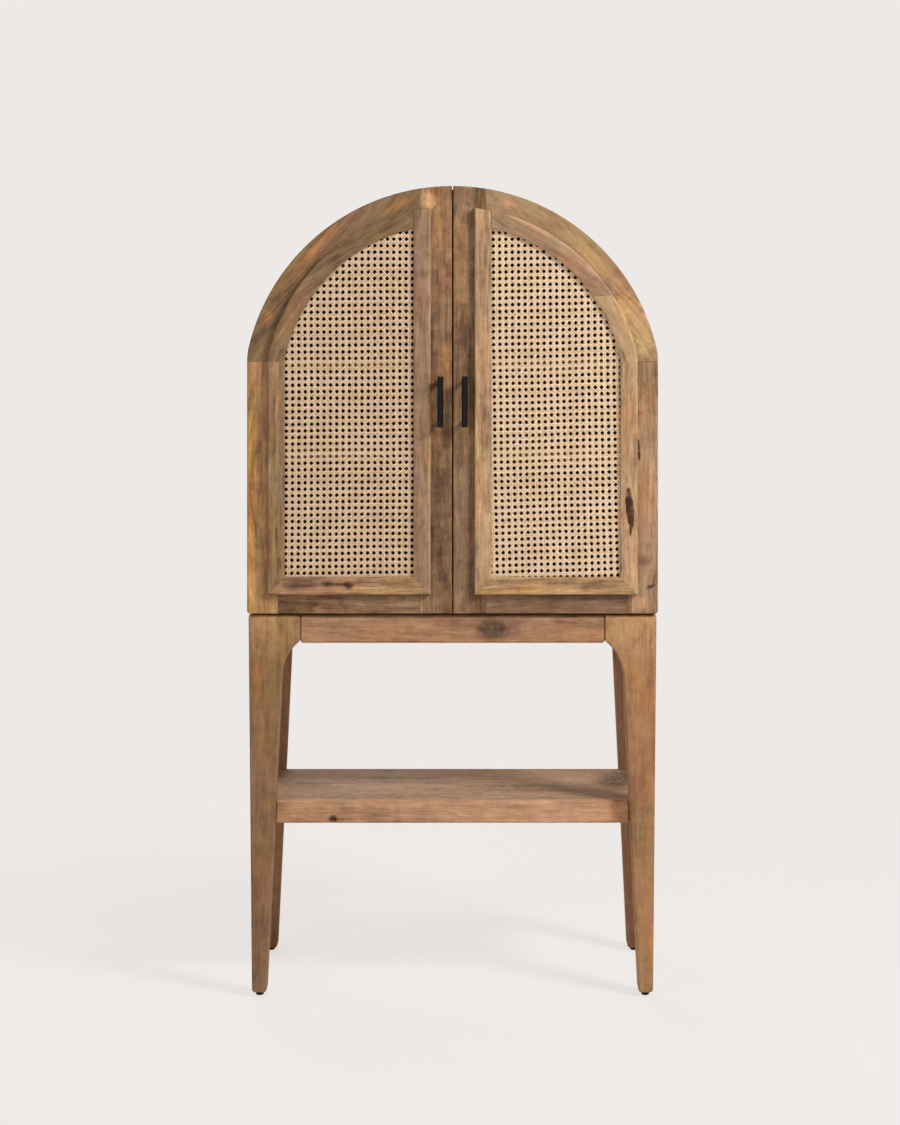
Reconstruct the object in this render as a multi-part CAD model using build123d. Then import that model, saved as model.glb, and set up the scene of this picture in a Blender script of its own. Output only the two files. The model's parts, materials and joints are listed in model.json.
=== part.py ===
"""Arched two-door cane cabinet on a tapered-leg stand.

Frame: +X to the cabinet's right as seen from the front, +Y to the back, +Z up.
The doors face -Y. The origin lies on the floor, under the centre of the whole box.
All lengths are millimetres and all angles degrees.
"""
from build123d import *
import math
import os

os.makedirs("parts", exist_ok=True)

# ---------------------------------------------------------------- driving sizes
# Overall arch of doors and case
case_width = 810.0  # across the closed doors
stand_height = 754.0  # floor to the top of the stand
door_lift = 3.0  # shadow gap between the stand and the doors
door_straight_height = 497.0  # door bottom to the arch's spring line
crown_excess = 8.0  # how much the crown radius exceeds half the width
shoulder_radius = 128.5  # small arc between the straight side and the crown

# Depths, front to back
handle_reach = 32.0  # door face to the front of the handle bar
door_thickness = 22.0
hinge_gap = 2.0  # between a closed door and the case
case_depth = 366.0
stand_setback = 3.0  # stand's front behind the door faces

# Door frames
door_gap = 2.5  # between the two doors
door_corner_radius = 6.0  # rounded outer bottom corner
door_edge_radius = 2.5  # easing round each door's face
outer_stile_width = 61.0
centre_stile_width = 64.0
bottom_rail_height = 62.0

# Raised moulding round each cane panel
moulding_margin = 41.0  # door's outer edge to the moulding
moulding_centre_margin = 42.0  # door's meeting edge to the moulding
moulding_bottom_margin = 39.0  # door's bottom edge to the moulding
moulding_width = 33.5
moulding_height = 12.0  # at its outer edge
moulding_lip = 5.0  # at its edge beside the cane
moulding_flat = 6.0  # level strip along its outer edge
moulding_outer_bevel = 2.0
moulding_lip_bevel = 1.0
moulding_joint_rise = 129.0  # spring line to the joint in the arched moulding

# Cane webbing
cane_thickness = 2.5
cane_clearance = 0.3
cane_pitch_x = 12.45
cane_pitch_z = 12.75
cane_hole_diameter = 5.4
cane_edge_margin = 8.0  # webbing without holes, hidden under the moulding
bead_width = 8.0
bead_thickness = 10.0

# Case
case_overhang = 7.0  # doors reach past the case by this much
case_wall = 20.0
rebate_width = 10.0
back_panel_thickness = 6.0
back_panel_clearance = 0.3
case_edge_radius = 1.5

# Shelves inside the case
inner_shelf_thickness = 18.0
middle_shelf_drop = 181.0  # upper shelf's top to the middle shelf's top
middle_shelf_setback = 20.0
middle_shelf_clearance = 1.0
pin_diameter = 6.0
pin_depth = 8.0  # in the side panel
pin_reach = 8.0  # under the shelf
pin_clearance = 0.05
pin_inset = 55.0  # from the middle shelf's front and back edges
pin_hole_pitch = 32.0
pin_holes_each_way = 2  # spare holes above and below the one in use

# Hinges
hinge_height = 60.0
hinge_bottom_offset = 78.0  # door bottom to the lower hinge's centre
hinge_top_offset = 64.0  # spring line down to the upper hinge's centre
knuckle_radius = 3.0
knuckle_side_inset = 3.7  # door's outer edge to the hinge axis
knuckle_gap = 0.2
knuckle_count = 3
leaf_thickness = 2.0
leaf_reach = 24.0  # hinge axis to the leaf's far edge
leaf_clearance = 0.4
hinge_pin_radius = 1.5
hinge_pin_clearance = 0.05
hinge_pin_head_radius = 2.4
hinge_pin_head_height = 1.5
leaf_screw_radius = 1.6
leaf_screw_length = 14.0
leaf_screw_head_radius = 3.0
leaf_screw_head_height = 1.0
leaf_screw_spacing = 36.0
screw_clearance = 0.05

# Handles
handle_bar_diameter = 12.0
handle_bar_length = 100.0
handle_bar_round = 1.5
handle_offset = 24.0  # gap between the doors to the bar's axis
handle_drop = 78.0  # spring line down to the bar's centre
handle_post_diameter = 9.0
handle_post_inset = 10.0  # bar's end to the post's axis
handle_screw_radius = 2.0
handle_screw_depth = 12.0  # into the post
handle_screw_head_radius = 4.0
handle_screw_head_height = 2.4
handle_screw_clearance = 0.15

# Magnetic catches under the upper shelf
catch_offset = 48.0  # from the middle of the cabinet
catch_width = 40.0
catch_depth = 14.0
catch_height = 12.0
strike_thickness = 1.6
strike_width = 30.0
strike_height = 11.0

# Screws of the back panel
back_screw_head_radius = 3.5
back_screw_head_height = 1.0
back_screw_radius = 1.6
back_screw_length = 18.0
back_screw_side_count = 4
back_screw_crown_angles = (30.0, 60.0, 90.0, 120.0, 150.0)

# Stand
stand_side_setback = 2.5  # stand's widest line behind the doors' outer edge
leg_thickness = 45.0  # front to back
leg_lean = 6.8  # outer face leans in by this much at the foot
leg_foot_width = 28.7
leg_neck_width = 64.0  # under the bracket
leg_neck_drop = 124.0  # stand's top to the neck
bracket_reach = 101.5  # leg's outer top edge to the bracket's end
bracket_radius = 100.0  # hollow curve under the bracket
bracket_tip_round = 6.0
leg_foot_round = 7.0
leg_edge_radius = 4.0
stand_top_round = 13.0  # large round-over along the stand's front top edge
apron_height = 56.0
apron_thickness = 22.0
apron_setback = 3.0  # behind the legs' faces
apron_corner_round = 7.0
apron_edge_radius = 5.0
block_size = 45.0
block_height = 28.0
fixing_screw_radius = 2.5
fixing_screw_bite = 15.0  # into the case's bottom panel
fixing_screw_head_radius = 4.5
fixing_screw_head_height = 3.0
fixing_screw_inset = 14.0

# Open shelf between the legs
lower_shelf_top = 382.0
lower_shelf_thickness = 45.0
lower_shelf_setback = 31.0  # from the legs' front and back faces
lower_shelf_side_setback = 9.0  # from the stand's widest line
lower_shelf_edge_radius = 4.0

# Glides under the legs
glide_height = 9.0
glide_radius = 8.0
glide_round = 3.0
glide_nail_radius = 1.2
glide_nail_length = 14.0

# ---------------------------------------------------------------- derived places
half_width = case_width / 2
door_bottom = stand_height + door_lift
spring_line = door_bottom + door_straight_height
crown_radius = half_width + crown_excess
shoulder_x = half_width - shoulder_radius
crown_z = spring_line - math.sqrt((crown_radius - shoulder_radius) ** 2 - shoulder_x**2)
shoulder_angle = math.atan2(spring_line - crown_z, shoulder_x)

overall_depth = handle_reach + door_thickness + hinge_gap + case_depth
door_face = -overall_depth / 2 + handle_reach
door_back = door_face + door_thickness
case_front = door_back + hinge_gap
case_back = case_front + case_depth
stand_front = door_face + stand_setback
stand_back = case_back

door_inner_x = door_gap / 2
centre_joint_x = door_inner_x + centre_stile_width
rail_top = door_bottom + bottom_rail_height

case_inset = case_overhang + case_wall
case_inner_x = half_width - case_inset
case_outer_x = half_width - case_overhang
bottom_panel_top = stand_height + case_wall
rebate_inset = case_inset - rebate_width
back_panel_front = case_back - back_panel_thickness

upper_shelf_bottom = spring_line - inner_shelf_thickness
middle_shelf_top = spring_line - middle_shelf_drop
middle_shelf_bottom = middle_shelf_top - inner_shelf_thickness
middle_shelf_front = case_front + middle_shelf_setback
middle_shelf_back = back_panel_front - middle_shelf_clearance

hinge_x = half_width - knuckle_side_inset
hinge_y = (door_back + case_front) / 2
hinge_centres = (door_bottom + hinge_bottom_offset, spring_line - hinge_top_offset)
knuckle_length = hinge_height / knuckle_count
barrel_reach = knuckle_radius + leaf_clearance

handle_z = spring_line - handle_drop
handle_bar_y = door_face - handle_reach + handle_bar_diameter / 2
post_spread = handle_bar_length / 2 - handle_post_inset

stand_half = half_width - stand_side_setback
front_leg_back = stand_front + leg_thickness
rear_leg_front = stand_back - leg_thickness
neck_z = stand_height - leg_neck_drop
bracket_x = stand_half - bracket_reach
lean_per_mm = leg_lean / (stand_height - glide_height)
foot_outer_x = stand_half - leg_lean
foot_inner_x = foot_outer_x - leg_foot_width
neck_inner_x = stand_half - lean_per_mm * leg_neck_drop - leg_neck_width
apron_bottom = stand_height - apron_height
side_apron_outer_x = stand_half - apron_setback
side_apron_inner_x = side_apron_outer_x - apron_thickness

REACH = 4000.0  # larger than the cabinet, for cutting boxes


# ---------------------------------------------------------------- helpers
def polar(centre, radius, angle):
    """Point at an angle in radians on a circle in the XZ plane."""
    return (centre[0] + radius * math.cos(angle), centre[1] + radius * math.sin(angle))


def slab(face, y_front, y_back):
    """Extrude a face drawn in X and Z between two depths."""
    plane = Plane(origin=(0, y_back, 0), x_dir=(1, 0, 0), z_dir=(0, -1, 0))
    return extrude(plane * face, y_back - y_front)


def block(x_range, y_range, z_range):
    """Box between pairs of coordinates."""
    spans = [high - low for low, high in (x_range, y_range, z_range)]
    middle = [(low + high) / 2 for low, high in (x_range, y_range, z_range)]
    return Pos(*middle) * Box(*spans)


def rod_y(radius, x, z, y_front, y_back):
    """Cylinder along Y."""
    centre = Pos(x, (y_front + y_back) / 2, z)
    return centre * Rot(90, 0, 0) * Cylinder(radius, y_back - y_front)


def rod_x(radius, y, z, x_low, x_high):
    """Cylinder along X."""
    centre = Pos((x_low + x_high) / 2, y, z)
    return centre * Rot(0, 90, 0) * Cylinder(radius, x_high - x_low)


def rod_z(radius, x, y, z_low, z_high):
    """Cylinder along Z."""
    return Pos(x, y, (z_low + z_high) / 2) * Cylinder(radius, z_high - z_low)


def ease(solid, edges, radius):
    """Round the given edges of a solid."""
    return fillet(edges, radius) if edges else solid


def front_edges(solid, y):
    """Edges that lie wholly in one plane across Y."""
    return solid.edges().filter_by_position(Axis.Y, y - 0.01, y + 0.01)


def mirror_x(solid):
    """The same piece on the other side of the cabinet."""
    return mirror(solid, about=Plane.YZ)


def mirror_depth(solid):
    """The same piece turned from the stand's front to its back."""
    middle = (stand_front + stand_back) / 2
    return mirror(solid, about=Plane.XZ.offset(-middle))


def half_arch_face(inset, bottom, inner_x, corner=0.0):
    """Right half of the arch, inset from its outline, from inner_x outwards."""
    outer = half_width - inset
    shoulder = shoulder_radius - inset
    crown = crown_radius - inset
    shoulder_centre = (shoulder_x, spring_line)
    crown_centre = (0.0, crown_z)
    end_angle = math.acos(inner_x / crown)
    top = polar(crown_centre, crown, end_angle)
    blend = polar(crown_centre, crown, shoulder_angle)
    shoulder_mid = polar(shoulder_centre, shoulder, shoulder_angle / 2)
    crown_mid = polar(crown_centre, crown, (shoulder_angle + end_angle) / 2)
    edges = [Line((inner_x, bottom), (outer - corner, bottom))]
    if corner:
        turn = polar((outer - corner, bottom + corner), corner, math.radians(-45))
        edges.append(ThreePointArc((outer - corner, bottom), turn, (outer, bottom + corner)))
    edges.append(Line((outer, bottom + corner), (outer, spring_line)))
    edges.append(ThreePointArc((outer, spring_line), shoulder_mid, blend))
    edges.append(ThreePointArc(blend, crown_mid, top))
    edges.append(Line(top, (inner_x, bottom)))
    return make_face(edges)


def full_arch_face(inset, bottom):
    """The whole arch, inset from its outline."""
    outer = half_width - inset
    shoulder = shoulder_radius - inset
    crown = crown_radius - inset
    blend = polar((0.0, crown_z), crown, shoulder_angle)
    shoulder_mid = polar((shoulder_x, spring_line), shoulder, shoulder_angle / 2)
    edges = [Line((-outer, bottom), (outer, bottom))]
    edges.append(Line((outer, bottom), (outer, spring_line)))
    edges.append(ThreePointArc((outer, spring_line), shoulder_mid, blend))
    edges.append(ThreePointArc(blend, (0.0, crown_z + crown), (-blend[0], blend[1])))
    left_mid = (-shoulder_mid[0], shoulder_mid[1])
    edges.append(ThreePointArc((-blend[0], blend[1]), left_mid, (-outer, spring_line)))
    edges.append(Line((-outer, spring_line), (-outer, bottom)))
    return make_face(edges)


def countersunk_screw(x, z, face_y, into, head_radius, head_height, shank_radius, length, slack):
    """Screw along Y with its head flush in face_y; into is +1 towards the back, -1 to the front."""
    neck = face_y + into * head_height
    tip = face_y + into * length
    head = rod_y(head_radius + slack, x, z, min(face_y, neck), max(face_y, neck))
    shank = rod_y(shank_radius + slack, x, z, min(neck, tip), max(neck, tip))
    return head + shank


nodes = {}


# ---------------------------------------------------------------- stand
def make_leg():
    """Front right leg with its bracket, tapered to the foot."""
    line = Vector(neck_inner_x - foot_inner_x, neck_z - glide_height)
    away = Vector(-line.Y, line.X) * (1 / line.length)
    centre = (neck_inner_x + away.X * bracket_radius, neck_z + away.Y * bracket_radius)
    tip_angle = math.acos((bracket_x - centre[0]) / bracket_radius)
    neck_angle = math.atan2(-away.Y, -away.X)
    tip = polar(centre, bracket_radius, tip_angle)
    hollow_mid = polar(centre, bracket_radius, (tip_angle + neck_angle) / 2)
    face = make_face(
        [
            Line((bracket_x, stand_height), (stand_half, stand_height)),
            Line((stand_half, stand_height), (foot_outer_x, glide_height)),
            Line((foot_outer_x, glide_height), (foot_inner_x, glide_height)),
            Line((foot_inner_x, glide_height), (neck_inner_x, neck_z)),
            ThreePointArc((neck_inner_x, neck_z), hollow_mid, tip),
            Line(tip, (bracket_x, stand_height)),
        ]
    )
    foot_corners = face.vertices().filter_by_position(Axis.Y, glide_height - 0.01, glide_height + 0.01)
    face = fillet(foot_corners, leg_foot_round)
    tip_corner = face.vertices().sort_by_distance((tip[0], tip[1], 0))[0]
    face = fillet(tip_corner, bracket_tip_round)
    leg = slab(face, stand_front, front_leg_back)
    top_edge = front_edges(leg, stand_front).sort_by(Axis.Z)[-1]
    leg = fillet(top_edge, stand_top_round)
    rest = [edge for edge in front_edges(leg, stand_front) if not level_top_line(edge)]
    return ease(leg, rest, leg_edge_radius)


def level_top_line(edge):
    """True for the tangent line where the top round-over meets the front face."""
    box = edge.bounding_box()
    at_height = abs(box.min.Z - (stand_height - stand_top_round)) < 0.01
    return at_height and box.max.Z - box.min.Z < 0.01


def make_front_apron():
    """Front apron between the two brackets."""
    front = stand_front + apron_setback
    face = make_face(
        Polyline(
            [
                (-bracket_x, stand_height),
                (bracket_x, stand_height),
                (bracket_x, apron_bottom),
                (-bracket_x, apron_bottom),
            ],
            close=True,
        )
    )
    corners = face.vertices().filter_by_position(Axis.Y, apron_bottom - 0.01, apron_bottom + 0.01)
    face = fillet(corners, apron_corner_round)
    apron = slab(face, front, front + apron_thickness)
    top_edge = front_edges(apron, front).sort_by(Axis.Z)[-1]
    apron = fillet(top_edge, stand_top_round)
    rest = [edge for edge in front_edges(apron, front) if not level_top_line(edge)]
    return ease(apron, rest, apron_edge_radius)


def make_side_apron():
    """Right apron between the front and rear legs."""
    apron = block(
        (side_apron_inner_x, side_apron_outer_x),
        (front_leg_back, rear_leg_front),
        (apron_bottom, stand_height),
    )
    outer = apron.edges().filter_by_position(
        Axis.X, side_apron_outer_x - 0.01, side_apron_outer_x + 0.01
    )
    return ease(apron, outer, apron_edge_radius)


front_right_leg = make_leg()
rear_right_leg = mirror_depth(front_right_leg)
legs = {
    "front_right_leg": front_right_leg,
    "rear_right_leg": rear_right_leg,
    "front_left_leg": mirror_x(front_right_leg),
    "rear_left_leg": mirror_x(rear_right_leg),
}


def make_lower_shelf():
    """Thick open shelf, notched round the four legs."""
    half = stand_half - lower_shelf_side_setback
    y_range = (stand_front + lower_shelf_setback, stand_back - lower_shelf_setback)
    z_range = (lower_shelf_top - lower_shelf_thickness, lower_shelf_top)
    shelf = block((-half, half), y_range, z_range)
    for leg in legs.values():
        shelf -= leg_prism(leg)
    edges = front_edges(shelf, y_range[0]) + front_edges(shelf, y_range[1])
    ends = shelf.edges().filter_by_position(Axis.X, half - 0.01, half + 0.01)
    ends += shelf.edges().filter_by_position(Axis.X, -half - 0.01, -half + 0.01)
    return ease(shelf, edges + ends, lower_shelf_edge_radius)


def leg_prism(leg):
    """A leg's width without its rounded edges, as a cutter for the shelf's notch."""
    box = leg.bounding_box()
    sign = 1 if box.center().X > 0 else -1
    points = [
        (sign * neck_inner_x, neck_z),
        (sign * REACH, neck_z),
        (sign * REACH, glide_height),
        (sign * foot_inner_x, glide_height),
    ]
    return slab(make_face(Polyline(points, close=True)), box.min.Y, box.max.Y)


fixing_screw_place = (
    side_apron_inner_x - fixing_screw_inset,
    front_leg_back + fixing_screw_inset,
)


def make_corner_block():
    """Triangular block in the stand's front right corner, drilled for its screw."""
    corner = (side_apron_inner_x, front_leg_back)
    triangle = make_face(
        Polyline(
            [
                corner,
                (corner[0] - block_size, corner[1]),
                (corner[0], corner[1] + block_size),
            ],
            close=True,
        )
    )
    low = stand_height - block_height
    prism = extrude(Pos(0, 0, low) * triangle, block_height)
    x, y = fixing_screw_place
    return prism - rod_z(fixing_screw_radius + screw_clearance, x, y, low, stand_height)


def make_fixing_screw(slack=0.0):
    """Screw up through a corner block into the case."""
    x, y = fixing_screw_place
    low = stand_height - block_height
    shank = rod_z(fixing_screw_radius + slack, x, y, low, stand_height + fixing_screw_bite)
    head = rod_z(fixing_screw_head_radius, x, y, low - fixing_screw_head_height, low)
    return shank + head


def make_glide(slack=0.0):
    """Nail-on glide under the front right leg."""
    x = (foot_outer_x + foot_inner_x) / 2
    y = stand_front + leg_thickness / 2
    nail = rod_z(glide_nail_radius + slack, x, y, glide_height, glide_height + glide_nail_length)
    if slack:
        return nail
    disc = rod_z(glide_radius, x, y, 0.0, glide_height)
    disc = fillet(disc.edges().sort_by(Axis.Z)[0], glide_round)
    return disc + nail


def four_corners(solid):
    """A stand piece at the front right, repeated at all four corners."""
    right = [solid, mirror_depth(solid)]
    return right + [mirror_x(piece) for piece in right]


nail_hole = make_glide(slack=screw_clearance)
for name, leg in legs.items():
    for cutter in four_corners(nail_hole):
        if cutter.center().X * leg.center().X > 0 and cutter.center().Y * leg.center().Y > 0:
            leg = leg - cutter
    nodes[name] = leg

front_apron = make_front_apron()
right_apron = make_side_apron()
nodes["front_apron"] = front_apron
nodes["rear_apron"] = mirror_depth(front_apron)
nodes["side_aprons"] = Compound(children=[right_apron, mirror_x(right_apron)])
nodes["lower_shelf"] = make_lower_shelf()
nodes["stand_corner_blocks"] = Compound(children=four_corners(make_corner_block()))
nodes["case_fixing_screws"] = Compound(children=four_corners(make_fixing_screw()))
nodes["foot_glides"] = Compound(children=four_corners(make_glide()))


# ---------------------------------------------------------------- hinges
def knuckle_span(centre_z, index):
    """Bottom and top of one knuckle of a hinge."""
    low = centre_z - hinge_height / 2 + index * knuckle_length
    return low + knuckle_gap / 2, low + knuckle_length - knuckle_gap / 2


def make_leaf(centre_z, knuckles, y_range, plate_x, screw_face, into):
    """One leaf of a right-hand hinge with its own knuckles on the hinge axis."""
    z_range = (centre_z - hinge_height / 2, centre_z + hinge_height / 2)
    leaf = block(plate_x, y_range, z_range)
    for index in knuckles:
        low, high = knuckle_span(centre_z, index)
        leaf += block((plate_x[1], hinge_x), y_range, (low, high))
        leaf += rod_z(knuckle_radius, hinge_x, hinge_y, low, high)
    bore = rod_z(hinge_pin_radius + hinge_pin_clearance, hinge_x, hinge_y, *z_range)
    leaf -= bore
    for screw in leaf_screws(centre_z, plate_x, screw_face, into, screw_clearance):
        leaf -= screw
    return leaf


def leaf_screws(centre_z, plate_x, face_y, into, slack=0.0):
    """The two flush screws of a leaf."""
    x = (plate_x[0] + plate_x[1]) / 2
    return [
        countersunk_screw(
            x,
            centre_z + side * leaf_screw_spacing / 2,
            face_y,
            into,
            leaf_screw_head_radius,
            leaf_screw_head_height,
            leaf_screw_radius,
            leaf_screw_length,
            slack,
        )
        for side in (-1, 1)
    ]


def make_hinge_pin(centre_z):
    """Pin with a head at each end."""
    low = centre_z - hinge_height / 2
    high = centre_z + hinge_height / 2
    top_seat = high - knuckle_gap / 2
    bottom_seat = low + knuckle_gap / 2
    pin = rod_z(hinge_pin_radius, hinge_x, hinge_y, bottom_seat, top_seat)
    pin += rod_z(hinge_pin_head_radius, hinge_x, hinge_y, top_seat, top_seat + hinge_pin_head_height)
    pin += rod_z(
        hinge_pin_head_radius, hinge_x, hinge_y, bottom_seat - hinge_pin_head_height, bottom_seat
    )
    return pin


door_plate_x = (hinge_x - leaf_reach, hinge_x - barrel_reach)
case_plate_x = (hinge_x - leaf_reach, case_outer_x)
door_leaf_y = (door_back - leaf_thickness, door_back)
case_leaf_y = (case_front, case_front + leaf_thickness)
case_knuckles = range(0, knuckle_count, 2)
door_knuckles = range(1, knuckle_count, 2)

door_leaves = [
    make_leaf(z, door_knuckles, door_leaf_y, door_plate_x, door_back, -1) for z in hinge_centres
]
case_leaves = [
    make_leaf(z, case_knuckles, case_leaf_y, case_plate_x, case_front, 1) for z in hinge_centres
]
door_leaf_screws = [
    screw for z in hinge_centres for screw in leaf_screws(z, door_plate_x, door_back, -1)
]
case_leaf_screws = [
    screw for z in hinge_centres for screw in leaf_screws(z, case_plate_x, case_front, 1)
]
hinge_pins = [make_hinge_pin(z) for z in hinge_centres]


def hinge_cutters(plate_x, y_range, notch_x, face_y, into):
    """Mortises and pilot holes for the leaves of one side."""
    cutters = []
    for z in hinge_centres:
        z_range = (z - hinge_height / 2 - leaf_clearance, z + hinge_height / 2 + leaf_clearance)
        cutters.append(block(plate_x, y_range, (z - hinge_height / 2, z + hinge_height / 2)))
        if notch_x:
            notch_z = (z_range[0] - hinge_pin_head_height, z_range[1] + hinge_pin_head_height)
            cutters.append(block(notch_x, (y_range[0] - leaf_clearance, case_front), notch_z))
        cutters += leaf_screws(z, plate_x, face_y, into, screw_clearance)
    return cutters


# ---------------------------------------------------------------- case
def make_case_shell():
    """Side walls and arched top as one ring, with the rebate for the back panel."""
    outer = slab(full_arch_face(case_overhang, stand_height), case_front, case_back)
    outer = ease(outer, front_edges(outer, case_front), case_edge_radius)
    inner = slab(full_arch_face(case_inset, stand_height - case_wall), case_front - 1, case_back + 1)
    return outer - inner - rebate_cutter


rebate_cutter = slab(
    full_arch_face(rebate_inset, stand_height + case_wall - rebate_width),
    back_panel_front,
    case_back + 1,
)


def back_screw_places():
    """Points along the middle of the rebate's ledge."""
    inset = (rebate_inset + case_inset) / 2
    places = []
    step = (spring_line - bottom_panel_top) / back_screw_side_count
    for index in range(back_screw_side_count):
        z = bottom_panel_top + (index + 0.5) * step
        places += [(half_width - inset, z), (inset - half_width, z)]
    for angle in back_screw_crown_angles:
        places.append(polar((0.0, crown_z), crown_radius - inset, math.radians(angle)))
    return places


def back_screws(slack=0.0):
    """Flush screws that hold the back panel in its rebate."""
    return [
        countersunk_screw(
            x,
            z,
            case_back,
            -1,
            back_screw_head_radius,
            back_screw_head_height,
            back_screw_radius,
            back_screw_length,
            slack,
        )
        for x, z in back_screw_places()
    ]


def pin_rows():
    """Heights of the shelf pin holes, the one in use first."""
    used = middle_shelf_bottom - pin_diameter / 2
    steps = range(-pin_holes_each_way, pin_holes_each_way + 1)
    return [used] + [used + step * pin_hole_pitch for step in steps if step]


def pin_depths():
    """Distances of the two pin columns along Y."""
    return (middle_shelf_front + pin_inset, middle_shelf_back - pin_inset)


def make_side_panel(shell):
    """Right side of the case up to the spring line, with its mortises and holes."""
    region = block((0, REACH), (-REACH, REACH), (stand_height, spring_line))
    panel = shell & region
    for cutter in hinge_cutters(case_plate_x, case_leaf_y, None, case_front, 1):
        panel -= cutter
    for y in pin_depths():
        for z in pin_rows():
            hole_end = case_inner_x + pin_depth
            panel -= rod_x(pin_diameter / 2 + pin_clearance, y, z, case_inner_x - 1, hole_end)
    return panel


def make_shelf_pins():
    """Round pins under the middle shelf, right side."""
    z = pin_rows()[0]
    low = case_inner_x - pin_reach
    high = case_inner_x + pin_depth
    return [rod_x(pin_diameter / 2, y, z, low, high) for y in pin_depths()]


def drill(solid, cutters):
    """Cut a list of tools out of a solid."""
    for cutter in cutters:
        solid = solid - cutter
    return solid


shell = make_case_shell()
screw_holes = back_screws(slack=screw_clearance)
side_holes = screw_holes[: 2 * back_screw_side_count]
crown_holes = screw_holes[2 * back_screw_side_count :]
right_side = drill(make_side_panel(shell), side_holes[0::2])
nodes["right_side_panel"] = right_side
nodes["left_side_panel"] = mirror_x(right_side)
top_region = block((-REACH, REACH), (-REACH, REACH), (spring_line, REACH))
nodes["arched_top"] = drill(shell & top_region, crown_holes)

bottom_panel = block(
    (-case_inner_x, case_inner_x), (case_front, case_back), (stand_height, bottom_panel_top)
)
bottom_panel -= rebate_cutter
nodes["bottom_panel"] = drill(bottom_panel, four_corners(make_fixing_screw(slack=screw_clearance)))

back_outline = full_arch_face(
    rebate_inset + back_panel_clearance,
    stand_height + case_wall - rebate_width + back_panel_clearance,
)
nodes["back_panel"] = drill(slab(back_outline, back_panel_front, case_back), screw_holes)
nodes["back_panel_screws"] = Compound(children=back_screws())

nodes["upper_shelf"] = block(
    (-case_inner_x, case_inner_x), (case_front, back_panel_front), (upper_shelf_bottom, spring_line)
)
middle_half = case_inner_x - middle_shelf_clearance
nodes["middle_shelf"] = block(
    (-middle_half, middle_half),
    (middle_shelf_front, middle_shelf_back),
    (middle_shelf_bottom, middle_shelf_top),
)
right_pins = make_shelf_pins()
nodes["shelf_pins"] = Compound(children=right_pins + [mirror_x(pin) for pin in right_pins])

catch = block(
    (catch_offset - catch_width / 2, catch_offset + catch_width / 2),
    (case_front, case_front + catch_depth),
    (upper_shelf_bottom - catch_height, upper_shelf_bottom),
)
nodes["magnetic_catches"] = Compound(children=[catch, mirror_x(catch)])


def both_sides(pieces):
    """Pieces of the right side and their mirror images, as one group."""
    return Compound(children=pieces + [mirror_x(piece) for piece in pieces])


nodes["hinge_case_leaves"] = both_sides(case_leaves)
nodes["hinge_case_screws"] = both_sides(case_leaf_screws)
nodes["hinge_pins"] = both_sides(hinge_pins)


# ---------------------------------------------------------------- doors
def handle_posts():
    """Places of a handle's two posts as heights."""
    return (handle_z - post_spread, handle_z + post_spread)


def handle_screw(z, slack=0.0):
    """Screw from the back of the door into a post."""
    x = handle_offset
    tip = door_face - handle_screw_depth
    shank = rod_y(handle_screw_radius + slack, x, z, tip, door_back)
    head = rod_y(handle_screw_head_radius, x, z, door_back, door_back + handle_screw_head_height)
    return shank + head


def make_door_frame():
    """The four joined members of the right door as named solids."""
    blank = slab(
        half_arch_face(0.0, door_bottom, door_inner_x, door_corner_radius), door_face, door_back
    )
    blank = ease(blank, front_edges(blank, door_face), door_edge_radius)
    opening = slab(
        half_arch_face(outer_stile_width, rail_top, centre_joint_x), door_face - 1, door_back + 1
    )
    frame = blank - opening
    depth = (-REACH, REACH)
    stile_x = half_width - outer_stile_width
    members = {
        "centre_stile": frame & block((0, centre_joint_x), depth, (0, REACH)),
        "outer_stile": frame & block((stile_x, REACH), depth, (0, spring_line)),
        "bottom_rail": frame & block((centre_joint_x, stile_x), depth, (0, spring_line)),
        "arch_rail": frame & block((centre_joint_x, REACH), depth, (spring_line, REACH)),
    }
    notch_x = (hinge_x - barrel_reach, REACH)
    cutters = hinge_cutters(door_plate_x, door_leaf_y, notch_x, door_back, -1)
    members["outer_stile"] = drill(members["outer_stile"], cutters)
    screws = [handle_screw(z, handle_screw_clearance) for z in handle_posts()]
    members["centre_stile"] = drill(members["centre_stile"], screws)
    return members


def moulding_section():
    """Moulding section: width from its outer edge inwards along X, height along Y."""
    slope = (moulding_height - moulding_lip) / (moulding_width - moulding_flat)
    return make_face(
        Polyline(
            [
                (0.0, 0.0),
                (0.0, moulding_height - moulding_outer_bevel),
                (moulding_outer_bevel, moulding_height),
                (moulding_flat, moulding_height),
                (moulding_width - moulding_lip_bevel, moulding_lip + slope * moulding_lip_bevel),
                (moulding_width, moulding_lip - moulding_lip_bevel),
                (moulding_width, 0.0),
            ],
            close=True,
        )
    )


def mitre(solid, point, normal):
    """Keep the part of a solid on the side of a plane that its normal points to."""
    plane = Plane(origin=(point[0], 0, point[1]), z_dir=(normal[0], 0, normal[1]))
    return solid & (plane * Pos(0, 0, REACH / 2) * Box(REACH, REACH, REACH))


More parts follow.
